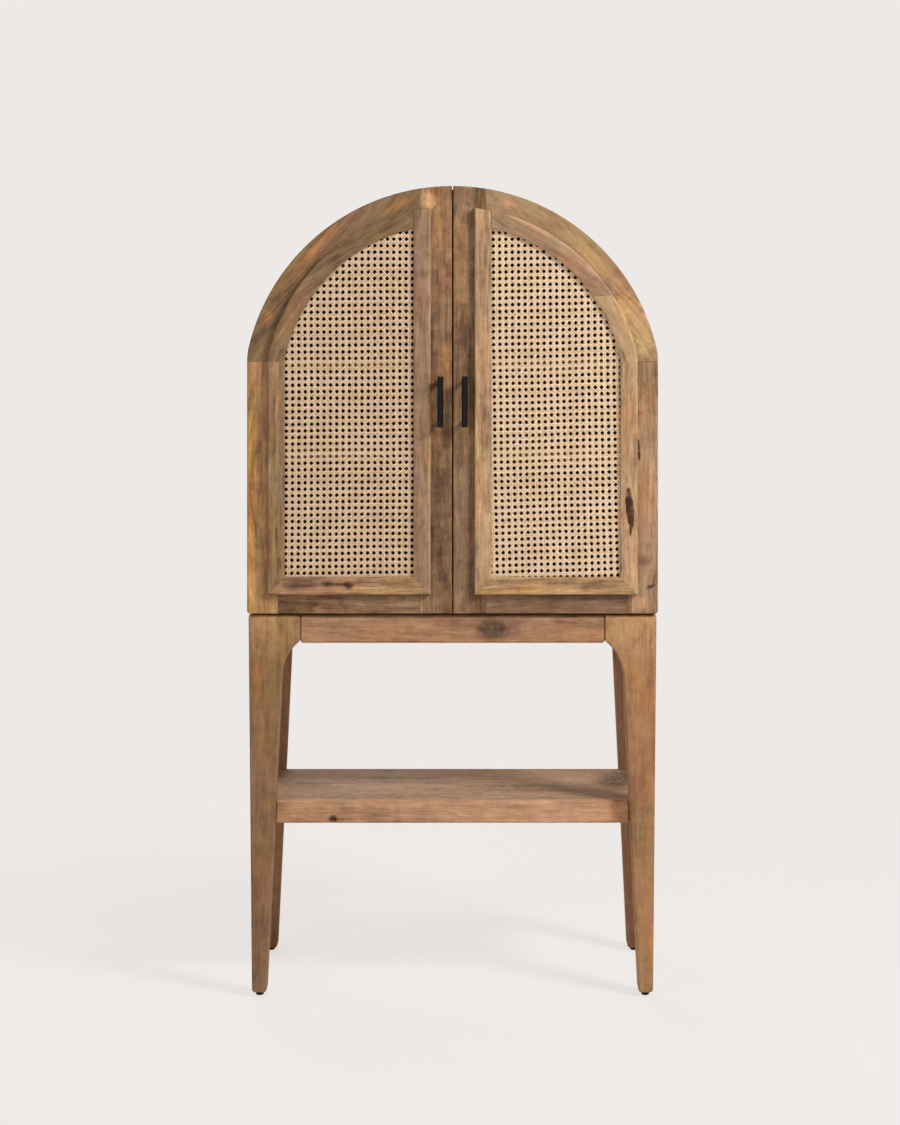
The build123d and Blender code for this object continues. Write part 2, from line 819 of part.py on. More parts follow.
def make_mouldings():
    """Mitred moulding runs of the right door."""
    section = moulding_section()
    outer_x = half_width - moulding_margin
    inner_x = door_inner_x + moulding_centre_margin
    low_z = door_bottom + moulding_bottom_margin
    crown = crown_radius - moulding_margin
    lip_x = inner_x + moulding_width
    outer_top = crown_z + math.sqrt(crown**2 - inner_x**2)
    inner_top = crown_z + math.sqrt((crown - moulding_width) ** 2 - lip_x**2)
    top_normal = Vector(outer_top - inner_top, moulding_width).normalized()
    top = (top_normal.X, top_normal.Y)
    bottom_outer = (outer_x, low_z)
    bottom_inner = (inner_x, low_z)
    diagonal = math.sqrt(0.5)

    centre_plane = Plane(origin=(inner_x, door_face, outer_top), x_dir=(1, 0, 0), z_dir=(0, 0, -1))
    centre = extrude(centre_plane * section, outer_top - low_z)
    centre = mitre(centre, (inner_x, outer_top), (-top[0], -top[1]))
    centre = mitre(centre, bottom_inner, (-diagonal, diagonal))

    outer_plane = Plane(origin=(outer_x, door_face, low_z), x_dir=(-1, 0, 0), z_dir=(0, 0, 1))
    outer = extrude(outer_plane * section, spring_line - low_z)
    outer = mitre(outer, bottom_outer, (diagonal, diagonal))

    bottom_plane = Plane(origin=(inner_x, door_face, low_z), x_dir=(0, 0, 1), z_dir=(1, 0, 0))
    bottom = extrude(bottom_plane * section, outer_x - inner_x)
    bottom = mitre(bottom, bottom_outer, (-diagonal, -diagonal))
    bottom = mitre(bottom, bottom_inner, (diagonal, -diagonal))

    spring_plane = Plane(origin=(outer_x, door_face, spring_line), x_dir=(-1, 0, 0), z_dir=(0, 0, 1))
    shoulder_axis = Axis((shoulder_x, 0, spring_line), (0, -1, 0))
    shoulder = revolve(spring_plane * section, shoulder_axis, math.degrees(shoulder_angle))
    crown_axis = Axis((0, 0, crown_z), (0, -1, 0))
    level_plane = Plane(origin=(crown, door_face, crown_z), x_dir=(-1, 0, 0), z_dir=(0, 0, 1))
    start = (level_plane * section).rotate(crown_axis, math.degrees(shoulder_angle))
    sweep = math.acos(door_inner_x / crown) - shoulder_angle
    arch = shoulder + revolve(start, crown_axis, math.degrees(sweep))
    arch = mitre(arch, (inner_x, outer_top), top)
    joint = (0.0, spring_line + moulding_joint_rise)
    return {
        "centre_moulding": centre,
        "outer_moulding": outer,
        "bottom_moulding": bottom,
        "lower_arch_moulding": mitre(arch, joint, (0, -1)),
        "upper_arch_moulding": mitre(arch, joint, (0, 1)),
    }


def inside_arch(x, z, inset, bottom, inner_x):
    """True if a point lies inside the right half of the inset arch."""
    if x < inner_x or z < bottom or x > half_width - inset:
        return False
    if z <= spring_line:
        return True
    angle = math.atan2(z - crown_z, x)
    if angle >= shoulder_angle:
        return math.hypot(x, z - crown_z) <= crown_radius - inset
    return math.hypot(x - shoulder_x, z - spring_line) <= shoulder_radius - inset or x < shoulder_x


def make_cane():
    """Cane webbing of the right door as a sheet with its round holes."""
    inset = outer_stile_width + cane_clearance
    inner_x = centre_joint_x + cane_clearance
    bottom = rail_top + cane_clearance
    sheet = half_arch_face(inset, bottom, inner_x)
    margin = cane_edge_margin + cane_hole_diameter / 2
    columns = int((half_width - inner_x) / cane_pitch_x) + 1
    rows = int((crown_z + crown_radius - bottom) / cane_pitch_z) + 1
    holes = []
    for column in range(columns):
        x = inner_x + margin + column * cane_pitch_x
        for row in range(rows):
            z = bottom + margin + row * cane_pitch_z
            if inside_arch(x, z, inset + margin, bottom + margin, inner_x + margin):
                holes.append(Wire(Edge.make_circle(cane_hole_diameter / 2, Plane((x, z, 0)))))
    perforated = Face(sheet.face().outer_wire(), holes)
    return slab(perforated, door_face, door_face + cane_thickness)


def make_beads():
    """Four strips that hold the cane from behind."""
    front = door_face + cane_thickness
    back = front + bead_thickness
    bead_x = centre_joint_x + bead_width
    bead_z = rail_top + bead_width
    ring = slab(half_arch_face(outer_stile_width, rail_top, centre_joint_x), front, back)
    ring -= slab(half_arch_face(outer_stile_width + bead_width, bead_z, bead_x), front - 1, back + 1)
    depth = (-REACH, REACH)
    regions = [
        ((0, bead_x), (0, REACH)),
        ((bead_x, REACH), (0, bead_z)),
        ((bead_x, REACH), (bead_z, spring_line)),
        ((bead_x, REACH), (spring_line, REACH)),
    ]
    return [ring & block(x_range, depth, z_range) for x_range, z_range in regions]


def make_handle():
    """Bar, posts and screws of the right handle."""
    low = handle_z - handle_bar_length / 2
    bar_space = rod_z(handle_bar_diameter / 2, handle_offset, handle_bar_y, low, low + handle_bar_length)
    bar = fillet(bar_space.edges().filter_by(GeomType.CIRCLE), handle_bar_round)
    posts = []
    for z in handle_posts():
        post = rod_y(handle_post_diameter / 2, handle_offset, z, handle_bar_y, door_face)
        posts.append(post - bar_space - handle_screw(z, screw_clearance))
    return bar, posts, [handle_screw(z) for z in handle_posts()]


def make_strike():
    """Steel plate on the back of the right door, opposite its catch."""
    z = upper_shelf_bottom - catch_height / 2
    return block(
        (catch_offset - strike_width / 2, catch_offset + strike_width / 2),
        (door_back, door_back + strike_thickness),
        (z - strike_height / 2, z + strike_height / 2),
    )


handle_bar, posts, handle_screws = make_handle()
door_pieces = {**make_door_frame(), **make_mouldings()}
door_pieces["cane_panel"] = make_cane()
door_groups = {
    "cane_beads": make_beads(),
    "handle_bar": [handle_bar],
    "handle_posts": posts,
    "handle_screws": handle_screws,
    "catch_strike": [make_strike()],
    "hinge_leaves": door_leaves,
    "hinge_screws": door_leaf_screws,
}
for name, piece in door_pieces.items():
    nodes[f"right_{name}"] = piece
    nodes[f"left_{name}"] = mirror_x(piece)
for name, pieces in door_groups.items():
    nodes[f"right_{name}"] = Compound(children=list(pieces))
    nodes[f"left_{name}"] = Compound(children=[mirror_x(piece) for piece in pieces])

for name, shape in nodes.items():
    export_step(shape, os.path.join("parts", f"{name}.step"))

print("overall height", round(crown_z + crown_radius, 3), "depth", overall_depth)
print("nodes", len(nodes))
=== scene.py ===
"""Arched two-door cane cabinet on a stand: every visible surface and its finish.

Sizes are millimetres in the model's own frame, x to the right, y to the back and z up, and become
metres when a mesh is made. The frame's solids stay where they are and get their finishes here; the
door mouldings, the woven cane and the handles are new surfaces that stand for plainer solids.
"""

from __future__ import annotations

import json
import logging
import math
from dataclasses import dataclass, field
from enum import Enum
from typing import Any

import bmesh
import bpy
import numpy as np
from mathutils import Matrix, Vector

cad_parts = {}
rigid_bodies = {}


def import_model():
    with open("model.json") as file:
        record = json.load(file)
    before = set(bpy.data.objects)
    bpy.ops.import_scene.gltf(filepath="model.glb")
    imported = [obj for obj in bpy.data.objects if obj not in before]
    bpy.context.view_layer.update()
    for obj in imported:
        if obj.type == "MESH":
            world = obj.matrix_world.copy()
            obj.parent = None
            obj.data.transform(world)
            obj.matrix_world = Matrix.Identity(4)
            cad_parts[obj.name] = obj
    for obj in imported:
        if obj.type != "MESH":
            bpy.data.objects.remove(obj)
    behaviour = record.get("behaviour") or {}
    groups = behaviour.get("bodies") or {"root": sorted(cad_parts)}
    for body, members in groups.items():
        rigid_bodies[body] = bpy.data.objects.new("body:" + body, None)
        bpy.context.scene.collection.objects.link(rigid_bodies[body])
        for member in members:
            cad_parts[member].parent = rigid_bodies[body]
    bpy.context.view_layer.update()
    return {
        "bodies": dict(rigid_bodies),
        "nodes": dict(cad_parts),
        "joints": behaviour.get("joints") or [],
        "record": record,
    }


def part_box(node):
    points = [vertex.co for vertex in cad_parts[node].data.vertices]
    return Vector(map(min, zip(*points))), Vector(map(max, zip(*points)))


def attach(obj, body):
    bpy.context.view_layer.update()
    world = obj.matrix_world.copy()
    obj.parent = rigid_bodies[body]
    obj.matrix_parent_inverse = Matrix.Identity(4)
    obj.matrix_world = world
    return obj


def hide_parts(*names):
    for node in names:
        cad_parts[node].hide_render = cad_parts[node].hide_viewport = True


LOG = logging.getLogger("cabinet")
MM = 0.001

Colour = tuple[float, float, float]
Point = tuple[float, float, float]


def linear(red: float, green: float, blue: float) -> Colour:
    """Turn a display colour of 0 to 255 a channel into linear light.

    Args:
        red: Red channel.
        green: Green channel.
        blue: Blue channel.

    Returns:
        The three channels from 0 to 1.
    """
    shares = np.array([red, green, blue]) / 255.0
    light = np.where(shares <= 0.04045, shares / 12.92, ((shares + 0.055) / 1.055) ** 2.4)
    return float(light[0]), float(light[1]), float(light[2])


def scaled(colour: Colour, by: Colour) -> Colour:
    """Return a colour with each channel multiplied by its own factor."""
    return colour[0] * by[0], colour[1] * by[1], colour[2] * by[2]


def box_of(node: str) -> np.ndarray:
    """Return a solid's lowest and highest corners in millimetres, x counted from the middle.

    Args:
        node: Name of the solid.

    Returns:
        Two rows of x, y and z, to a hundredth of a millimetre, with x as a distance.
    """
    box = np.round(np.array(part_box(node), dtype=float) / MM, 2)
    box[:, 0] = np.sort(np.abs(box[:, 0]))
    return box


class Side(Enum):
    """Half of the cabinet, with the sign of its x."""

    LEFT = -1
    RIGHT = 1

    def named(self, part: str) -> str:
        """Return the name of the side's own solid, piece or body."""
        return f"{self.name.lower()}_{part}"


class Grain(Enum):
    """Plane in which a board's grain direction is given."""

    FRONT = "xz"
    DEPTH = "y"


# --------------------------------------------------------------------------- meshes


class Skin:
    """Collects grids of points and makes one closed, smooth mesh object of them."""

    def __init__(self) -> None:
        """Start with no surface."""
        self.points: list[np.ndarray] = []
        self.quads: list[np.ndarray] = []
        self.rims: list[np.ndarray] = []
        self.strands: list[np.ndarray] = []
        self.count = 0

    def grid(
        self,
        points: np.ndarray,
        rim: np.ndarray | float = 0.0,
        strand: np.ndarray | None = None,
        wrap: bool = False,
    ) -> Skin:
        """Add a surface whose neighbours in the grid are joined by four-sided faces.

        Args:
            points: Grid of (n, m, 3) points in millimetres.
            rim: How worn each point is, from 0 to 1, of any shape that spreads to (n, m).
            strand: Values of (n, m, 3) that a pattern along a strand reads, if any.
            wrap: Whether the last column joins the first.

        Returns:
            This skin, so that calls can follow each other.
        """
        rows, columns = points.shape[:2]
        index = np.arange(rows * columns).reshape(rows, columns) + self.count
        if wrap:
            index = np.concatenate([index, index[:, :1]], axis=1)
        corners = [index[:-1, :-1], index[1:, :-1], index[1:, 1:], index[:-1, 1:]]
        self.quads.append(np.stack(corners, axis=-1).reshape(-1, 4))
        self.points.append(points.reshape(-1, 3))
        self.rims.append(np.broadcast_to(rim, (rows, columns)).reshape(-1))
        none = np.zeros((rows, columns, 3))
        self.strands.append((none if strand is None else strand).reshape(-1, 3))
        self.count += rows * columns
        return self

    def cap(self, ring: np.ndarray) -> Skin:
        """Close an (m, 3) ring of points with faces that meet at its middle."""
        middle = np.broadcast_to(ring.mean(axis=0), ring.shape)
        return self.grid(np.stack([ring, middle]), wrap=True)

    def make(self, name: str, sharp: float = 38.0, turn: bool = True) -> bpy.types.Object:
        """Make the mesh object, with doubles merged and collapsed faces dropped.

        Points closer than a micrometre become one. A face whose two neighbouring corners fall
        together becomes a triangle, and one that loses more is left out.

        Args:
            name: Name of the object and its mesh.
            sharp: Angle in degrees above which an edge shades as an edge.
            turn: Whether to turn every face outwards, for a closed skin.

        Returns:
            The object, linked to the scene, with its place in its mesh.
        """
        points = np.concatenate(self.points)
        keys = np.round(points * 1000.0).astype(np.int64)
        _, first, back = np.unique(keys, axis=0, return_index=True, return_inverse=True)
        quads = back.reshape(-1)[np.concatenate(self.quads)]
        same = quads == np.roll(quads, -1, axis=1)
        lost = same.sum(axis=1)
        crossed = (quads[:, 0] == quads[:, 2]) | (quads[:, 1] == quads[:, 3])
        fours = quads[(lost == 0) & ~crossed]
        threes = quads[(lost == 1) & ~crossed]
        threes = threes[~same[(lost == 1) & ~crossed]].reshape(-1, 3)
        corners = np.concatenate([fours.reshape(-1), threes.reshape(-1)]).astype(np.int32)
        starts = np.concatenate(
            [np.arange(len(fours)) * 4, len(fours) * 4 + np.arange(len(threes)) * 3]
        )
        mesh = bpy.data.meshes.new(name)
        mesh.vertices.add(len(first))
        mesh.vertices.foreach_set("co", (points[first] * MM).astype(np.float32).reshape(-1))
        mesh.loops.add(len(corners))
        mesh.loops.foreach_set("vertex_index", corners)
        mesh.polygons.add(len(starts))
        mesh.polygons.foreach_set("loop_start", starts.astype(np.int32))
        rim = mesh.attributes.new("rim", "FLOAT", "POINT")
        rim.data.foreach_set("value", np.concatenate(self.rims)[first].astype(np.float32))
        strand = mesh.attributes.new("strand", "FLOAT_VECTOR", "POINT")
        values = np.concatenate(self.strands)[first].astype(np.float32)
        strand.data.foreach_set("vector", values.reshape(-1))
        mesh.update(calc_edges=True)
        mesh.validate()
        if turn:
            work = bmesh.new()
            work.from_mesh(mesh)
            bmesh.ops.recalc_face_normals(work, faces=work.faces)
            work.to_mesh(mesh)
            work.free()
        mesh.shade_smooth()
        mesh.set_sharp_from_angle(angle=math.radians(sharp))
        piece = bpy.data.objects.new(name, mesh)
        bpy.context.scene.collection.objects.link(piece)
        return piece


def placed(x: np.ndarray, y: np.ndarray, z: np.ndarray) -> np.ndarray:
    """Join three coordinates, spread to one shape, into points."""
    return np.stack(np.broadcast_arrays(x, y, z), axis=-1).astype(float)


def lathe(start: Point, axis: Point, profile: np.ndarray, around: int) -> np.ndarray:
    """Turn a profile about a line.

    Each point is the start, plus its distance along the axis, plus its radius times the cosine of
    the turn along one cross direction and the sine of the turn along the other.

    Args:
        start: Point on the line that profile distances count from.
        axis: Unit direction of the line, square to x.
        profile: Pairs of distance along the line and radius.
        around: Points in a full turn.

    Returns:
        Grid of (profile, around, 3) points, to be wrapped.
    """
    line = np.array(axis, dtype=float)
    across = np.cross(line, (1.0, 0.0, 0.0))
    across /= np.linalg.norm(across)
    other = np.cross(line, across)
    turn = np.linspace(0.0, math.tau, around, endpoint=False)
    spoke = np.cos(turn)[:, None] * across + np.sin(turn)[:, None] * other
    along = profile[:, 0][:, None, None] * line
    return np.array(start) + along + profile[:, 1][:, None, None] * spoke


# --------------------------------------------------------------------------- materials


class Graph:
    """Shader nodes of a material or the world, added by short calls that return their result."""

    def __init__(self, owner: bpy.types.Material | bpy.types.World) -> None:
        """Start with no nodes."""
        owner.use_nodes = True
        self.owner = owner
        self.tree = owner.node_tree
        self.tree.nodes.clear()

    def feed(self, socket: bpy.types.NodeSocket, value: Any) -> None:
        """Link a socket to another, or set its value."""
        if isinstance(value, bpy.types.NodeSocket):
            self.tree.links.new(value, socket)
        elif socket.type == "RGBA" and len(value) == 3:
            socket.default_value = (*value, 1.0)
        else:
            socket.default_value = value

    def node(self, kind: str, inputs: dict[Any, Any], **settings: Any) -> bpy.types.Node:
        """Add a node.

        Args:
            kind: Node type without its common beginning.
            inputs: Values or results by input name or number.
            settings: Properties of the node.

        Returns:
            The node.
        """
        made = self.tree.nodes.new(f"ShaderNode{kind}")
        for key, value in settings.items():
            setattr(made, key, value)
        for key, value in inputs.items():
            self.feed(made.inputs[key], value)
        return made

    def math(self, operation: str, *terms: Any, clamp: bool = False) -> Any:
        """Return a sum, product or other operation on numbers."""
        inputs = dict(enumerate(terms))
        return self.node("Math", inputs, operation=operation, use_clamp=clamp).outputs[0]

    def vector(self, operation: str, *terms: Any) -> Any:
        """Return an operation on vectors, or the number where it is a length."""
        made = self.node("VectorMath", dict(enumerate(terms)), operation=operation)
        return made.outputs[1 if operation == "LENGTH" else 0]

    def noise(self, vector: Any, detail: float, rough: float, colour: bool = False) -> Any:
        """Return noise of scale 1 at a vector, as a number or as a colour."""
        inputs = {"Vector": vector, "Scale": 1.0, "Detail": detail, "Roughness": rough}
        return self.node("TexNoise", inputs).outputs[1 if colour else 0]

    def span(self, value: Any, low: float, high: float, start: float = 0.0, end: float = 1.0) -> Any:
        """Return a smooth step from start to end as the input goes from low to high."""
        inputs = {0: value, 1: low, 2: high, 3: start, 4: end}
        return self.node("MapRange", inputs, interpolation_type="SMOOTHSTEP").outputs[0]

    def blend(self, share: Any, one: Any, other: Any, mode: str = "MIX") -> Any:
        """Return one colour mixed into another."""
        inputs = {0: share, 6: one, 7: other}
        return self.node("Mix", inputs, data_type="RGBA", blend_type=mode).outputs[2]

    def tinted(self, share: Any, colour: Any, tint: Colour) -> Any:
        """Return a colour, multiplied by a tint as far as the share goes."""
        return self.blend(share, colour, self.blend(1.0, colour, tint, "MULTIPLY"))

    def ramp(self, value: Any, stops: list[tuple[float, Colour]], base: Colour = (1.0,) * 3) -> Any:
        """Return the colour at a value of a ramp of places and multiples of a base colour."""
        made = self.node("ValToRGB", {0: value})
        elements = made.color_ramp.elements
        for place, _ in stops[2:]:
            elements.new(place)
        for element, (place, multiple) in zip(elements, stops):
            element.position = place
            element.color = (*scaled(base, multiple), 1.0)
        return made.outputs[0]

    def split(self, vector: Any) -> tuple[Any, Any, Any]:
        """Return the three parts of a vector."""
        made = self.node("SeparateXYZ", {0: vector})
        return made.outputs[0], made.outputs[1], made.outputs[2]

    def place(self) -> Any:
        """Return the place on the object in metres."""
        return self.node("TexCoord", {}).outputs["Object"]

    def attribute(self, name: str, vector: bool = False) -> Any:
        """Return a mesh attribute as a number or a vector."""
        return self.node("Attribute", {}, attribute_name=name).outputs[1 if vector else 2]

    def bump(self, height: Any, strength: float, distance: float) -> Any:
        """Return a normal raised by a height."""
        inputs = {"Strength": strength, "Distance": distance, "Height": height}
        return self.node("Bump", inputs).outputs[0]

    def seen(self) -> Any:
        """Return 1 for a ray that shows something straight, in gloss or through glass, else 0."""
        rays = self.node("LightPath", {}).outputs
        shown = self.math("MAXIMUM", rays["Is Camera Ray"], rays["Is Glossy Ray"])
        return self.math("MAXIMUM", shown, rays["Is Transmission Ray"])

    def finish(self, colour: Any, rough: Any, normal: Any, **fixed: float) -> bpy.types.Material:
        """Close the material with the main shader.

        Args:
            colour: Base colour.
            rough: Roughness.
            normal: Raised normal.
            fixed: Constant sockets, with underscores for the spaces in their names.

        Returns:
            The finished material.
        """
        inputs = {"Base Color": colour, "Roughness": rough, "Normal": normal}
        inputs.update({key.replace("_", " "): value for key, value in fixed.items()})
        shader = self.node("BsdfPrincipled", inputs)
        self.node("OutputMaterial", {0: shader.outputs[0]})
        return self.owner


class Tone(Enum):
    """Display colours that spots and streaks in the wood take."""

    KNOT = (66, 40, 30)
    HEART = (138, 84, 58)
    DARK = (94, 72, 54)
    DUSK = (114, 87, 70)
    GREY = (126, 103, 80)
    OLIVE = (138, 114, 74)
    GOLD = (190, 144, 74)
    STRAW = (190, 154, 108)
    ORANGE = (180, 124, 76)
    ROSE = (202, 144, 112)
    TAN = (164, 126, 96)


@dataclass(frozen=True)
class Mark:
    """Soft oval spot in the front or top plane: a knot, stain, streak or patch, or painted shadow and
    reflection.

    Attributes:
        x: Middle in millimetres.
        z: Middle in millimetres, up, or to the back where the plane is the top.
        width: Half width in millimetres.
        height: Half height in millimetres.
        tone: Colour of its middle.
        strength: Share of its colour at its middle.
        angle: Turn in degrees, anticlockwise from the front.
        softness: Share of its radius over which it fades.
        ragged: How far noise moves its outline, as a share of its radius.
        top: Whether it lies in the top plane.
    """

    x: float
    z: float
    width: float
    height: float
    tone: Tone
    strength: float = 0.5
    angle: float = 0.0
    softness: float = 0.9
    ragged: float = 0.45
    top: bool = False


@dataclass(frozen=True)
class Seam:
    """Dark hairline where two boards meet in a plane.

    Attributes:
        axis: Number of the axis that the plane is square to.
        at: Place of the plane in millimetres.
        width: Half width of the line in millimetres.
        strength: Darkness of the line.
    """

    axis: int
    at: float
    width: float = 0.7
    strength: float = 0.8


@dataclass(frozen=True)
class Wood:
    """Board of lacquered hardwood, with its own colour, grain and figure.

    Attributes:
        name: Name of the material.
        base: Display colour of 0 to 255 a channel.
        angle: Grain direction in the front plane, in degrees from x.
        grain: Whether the grain lies in the front plane or runs to the back.
        seed: Shift that makes the board differ from the others.
        contrast: Strength of light and dark bands.
        curl: Strength of the figure across the grain.
        golden: Share of yellow streaks.
        rosy: Share of pink patches.
        olive: Share of green-grey patches.
        grey: Share of dark streaks.
        pale: Share of light streaks.
        sheen: Strength of plain reflection.
        marks: Spots of its own: knots and stains, and some of painted shadow and reflection.
        seams: Hairlines at its joints.
    """

    name: str
    base: Colour
    angle: float = 90.0
    grain: Grain = Grain.FRONT
    seed: float = 0.0
    contrast: float = 1.0
    curl: float = 0.25
    golden: float = 0.5
    rosy: float = 0.5
    olive: float = 0.4
    grey: float = 0.6
    pale: float = 0.5
    sheen: float = 0.12
    marks: tuple[Mark, ...] = ()
    seams: tuple[Seam, ...] = ()

    def along_grain(self, graph: Graph, place: Any) -> Any:
        """Return the place turned so that its x runs along the grain, shifted by the seed."""
        turned = (0.0, math.radians(self.angle), 0.0)
        if self.grain is Grain.DEPTH:
            turned = (0.0, 0.0, -math.pi / 2.0)
        shift = (1.37 * self.seed, 2.11 * self.seed, 0.73 * self.seed)
        inputs = {"Vector": place, "Rotation": turned, "Location": shift}
        return graph.node("Mapping", inputs, vector_type="POINT").outputs[0]

    def bent(self, graph: Graph, line: Any) -> Any:
        """Return grain coordinates pushed sideways by slow noise, so that no line stays straight."""
        slow = graph.noise(graph.vector("MULTIPLY", line, (1.7, 6.5, 6.5)), 2.0, 0.45, colour=True)
        push = graph.vector("SUBTRACT", slow, (0.5, 0.5, 0.5))
        return graph.vector("ADD", line, graph.vector("MULTIPLY", push, (0.0, 0.05, 0.05)))

    def spotted(self, graph: Graph, place: Any, colour: Any) -> Any:
        """Return the colour with the board's own spots, stains and painted shade alike, through which the
        grain shows.

        A spot's share falls by a smooth step of the distance from its middle, counted in its own
        half width and half height and moved in and out by noise. Stain and painted shade alike multiply
        the colour by the spot's tone over the board's own, up to a limit.
        """
        brightest, cells = 2.2, 75.0
        own = linear(*self.base)
        x, y, z = graph.split(place)
        if self.marks:
            ripple = graph.noise(graph.vector("MULTIPLY", place, (cells,) * 3), 3.0, 0.65)
        for mark in self.marks:
            right = graph.math("SUBTRACT", x, mark.x * MM)
            up = graph.math("SUBTRACT", y if mark.top else z, mark.z * MM)
            cosine, sine = math.cos(math.radians(mark.angle)), math.sin(math.radians(mark.angle))
            wide, high = mark.width * MM, mark.height * MM
            one = graph.math("MULTIPLY", up, sine / wide)
            one = graph.math("MULTIPLY_ADD", right, cosine / wide, one)
            two = graph.math("MULTIPLY", right, -sine / high)
            two = graph.math("MULTIPLY_ADD", up, cosine / high, two)
            away = graph.vector("LENGTH", graph.node("CombineXYZ", {0: one, 1: two}).outputs[0])
            edge = graph.math("MULTIPLY_ADD", ripple, -2.4 * mark.ragged, 1.2 * mark.ragged)
            edge = graph.math("ADD", away, edge)
            share = graph.span(edge, 1.0 - mark.softness, 1.0 + 0.3 * mark.softness, mark.strength, 0.0)
            share = graph.math("MULTIPLY", share, graph.span(ripple, 0.3, 0.6, 0.7, 1.1), clamp=True)
            # tint of a stain or of painted shade, the spot's tone over the board's own
            stain_and_shade = (min(part / base, brightest) for part, base in zip(linear(*mark.tone.value), own))
            colour = graph.tinted(share, colour, tuple(stain_and_shade))
        return colour

    def joined(self, graph: Graph, place: Any, colour: Any) -> Any:
        """Return the colour with dark hairlines where the board meets its neighbours."""
        parts = graph.split(place)
        for seam in self.seams:
            away = graph.math("SUBTRACT", parts[seam.axis], seam.at * MM)
            share = graph.span(graph.math("ABSOLUTE", away), 0.0, seam.width * MM, seam.strength, 0.0)
            colour = graph.blend(share, colour, linear(48, 34, 24))
        return colour

    def figure(self, graph: Graph, line: Any) -> dict[str, Any]:
        """Work out the board's noise fields in grain coordinates.

        Flow is slow noise stretched along the grain. Rings are its level lines: the part after the
        point of a multiple of it, so that they run and close as growth lines do on a flat-sawn
        board. Bands, lines, fibres and dashes are ever finer noise. Mottle is noise stretched
        across the grain. Broad, small and fleck are clouds of three channels for the tints.

        Args:
            graph: Material's nodes.
            line: Grain coordinates.

        Returns:
            The fields by name.
        """

        def at(along: float, across: float) -> Any:
            """Return the coordinates stretched by counts of cells to a metre."""
            return graph.vector("MULTIPLY", line, (along, across, across))

        flow = graph.noise(at(2.4, 17.0), 2.0, 0.5)
        _, across, deep = graph.split(line)
        turns = graph.math("MULTIPLY_ADD", across, 9.0, graph.math("MULTIPLY", deep, 26.0))
        rings = graph.math("FRACT", graph.math("MULTIPLY_ADD", flow, 14.0, turns))
        late = graph.math("MULTIPLY", graph.span(rings, 0.2, 0.9), graph.span(rings, 1.0, 0.92))
        return {
            "flow": flow,
            "late": late,
            "bands": graph.noise(at(8.0, 76.0), 5.0, 0.6),
            "lines": graph.noise(at(8.0, 230.0), 2.0, 0.6),
            "fibre": graph.noise(at(34.0, 640.0), 3.0, 0.62),
            "dashes": graph.noise(at(120.0, 2100.0), 1.0, 0.5),
            "mottle": graph.noise(at(42.0, 30.0), 4.0, 0.62),
            "broad": graph.noise(at(4.6, 15.0), 3.0, 0.5, colour=True),
            "small": graph.noise(at(15.0, 46.0), 4.0, 0.58, colour=True),
            "fleck": graph.noise(at(46.0, 150.0), 3.0, 0.6, colour=True),
        }

    def material(self) -> bpy.types.Material:
        """Build the material: figure, tints, fibres, pores, spots, worn rims and a fine bump."""
        graph = Graph(bpy.data.materials.new(self.name))
        place = graph.place()
        figure = self.figure(graph, self.bent(graph, self.along_grain(graph, place)))
        shares = (
            ("flow", 0.9 * self.contrast),
            ("bands", 1.0 * self.contrast),
            ("lines", 0.6 * self.contrast),
            ("mottle", 1.8 * self.curl),
        )
        total: Any = 0.5
        for name, share in shares:
            total = graph.math("MULTIPLY_ADD", graph.math("SUBTRACT", figure[name], 0.5), share, total)
        total = graph.math("MULTIPLY_ADD", figure["late"], -0.11 * self.contrast, total)
        base = linear(*self.base)
        shades = [
            (0.12, (0.44, 0.41, 0.42)),
            (0.34, (0.77, 0.75, 0.76)),
            (0.50, (1.02, 1.01, 1.01)),
            (0.66, (1.18, 1.21, 1.24)),
            (0.88, (1.46, 1.58, 1.70)),
        ]
        colour = graph.ramp(total, shades, base)
        warm, pink, green = graph.split(figure["broad"])
        orange, dusk, pale = graph.split(figure["small"])
        taupe, moss, dark = graph.split(figure["fleck"])
        tints = (
            (warm, 0.50, 0.60, (1.10, 1.04, 0.74), self.golden),
            (pink, 0.50, 0.60, (1.09, 0.93, 0.95), self.rosy),
            (green, 0.51, 0.61, (0.86, 0.95, 0.84), self.olive),
            (orange, 0.56, 0.66, (1.14, 0.94, 0.74), 0.8 * self.golden),
            (dusk, 0.54, 0.66, (0.66, 0.62, 0.68), self.grey),
            (pale, 0.56, 0.68, (1.20, 1.24, 1.22), self.pale),
            (taupe, 0.54, 0.66, (1.10, 0.92, 0.94), 0.8 * self.rosy),
            (moss, 0.54, 0.66, (0.90, 0.97, 0.80), 0.8 * self.olive),
            (dark, 0.55, 0.68, (0.70, 0.66, 0.66), 0.8 * self.grey),
        )
        for mask, low, high, tint, share in tints:
            colour = graph.tinted(graph.span(mask, low, high, 0.0, share), colour, tint)
        colour = self.spotted(graph, place, colour)
        fine = graph.ramp(figure["fibre"], [(0.25, (0.80, 0.78, 0.77)), (0.75, (1.20, 1.22, 1.23))])
        colour = graph.blend(1.0, colour, fine, "MULTIPLY")
        pores = graph.span(figure["dashes"], 0.60, 0.70, 0.0, 0.5)
        colour = graph.tinted(pores, colour, (0.42, 0.36, 0.34))
        colour = self.joined(graph, place, colour)
        rim = graph.math("MULTIPLY", graph.attribute("rim"), 0.2)
        colour = graph.blend(rim, colour, scaled(base, (1.45, 1.45, 1.4)))
        rough = graph.math("MULTIPLY_ADD", figure["fibre"], 0.22, 0.5)
        rough = graph.math("MULTIPLY_ADD", pores, 0.2, rough)
        height = graph.math("MULTIPLY_ADD", pores, -0.9, graph.math("MULTIPLY", figure["fibre"], 0.5))
        height = graph.math("MULTIPLY_ADD", figure["bands"], 0.6, height)
        normal = graph.bump(height, 0.35, 0.0006)
        return graph.finish(colour, rough, normal, Specular_IOR_Level=self.sheen)


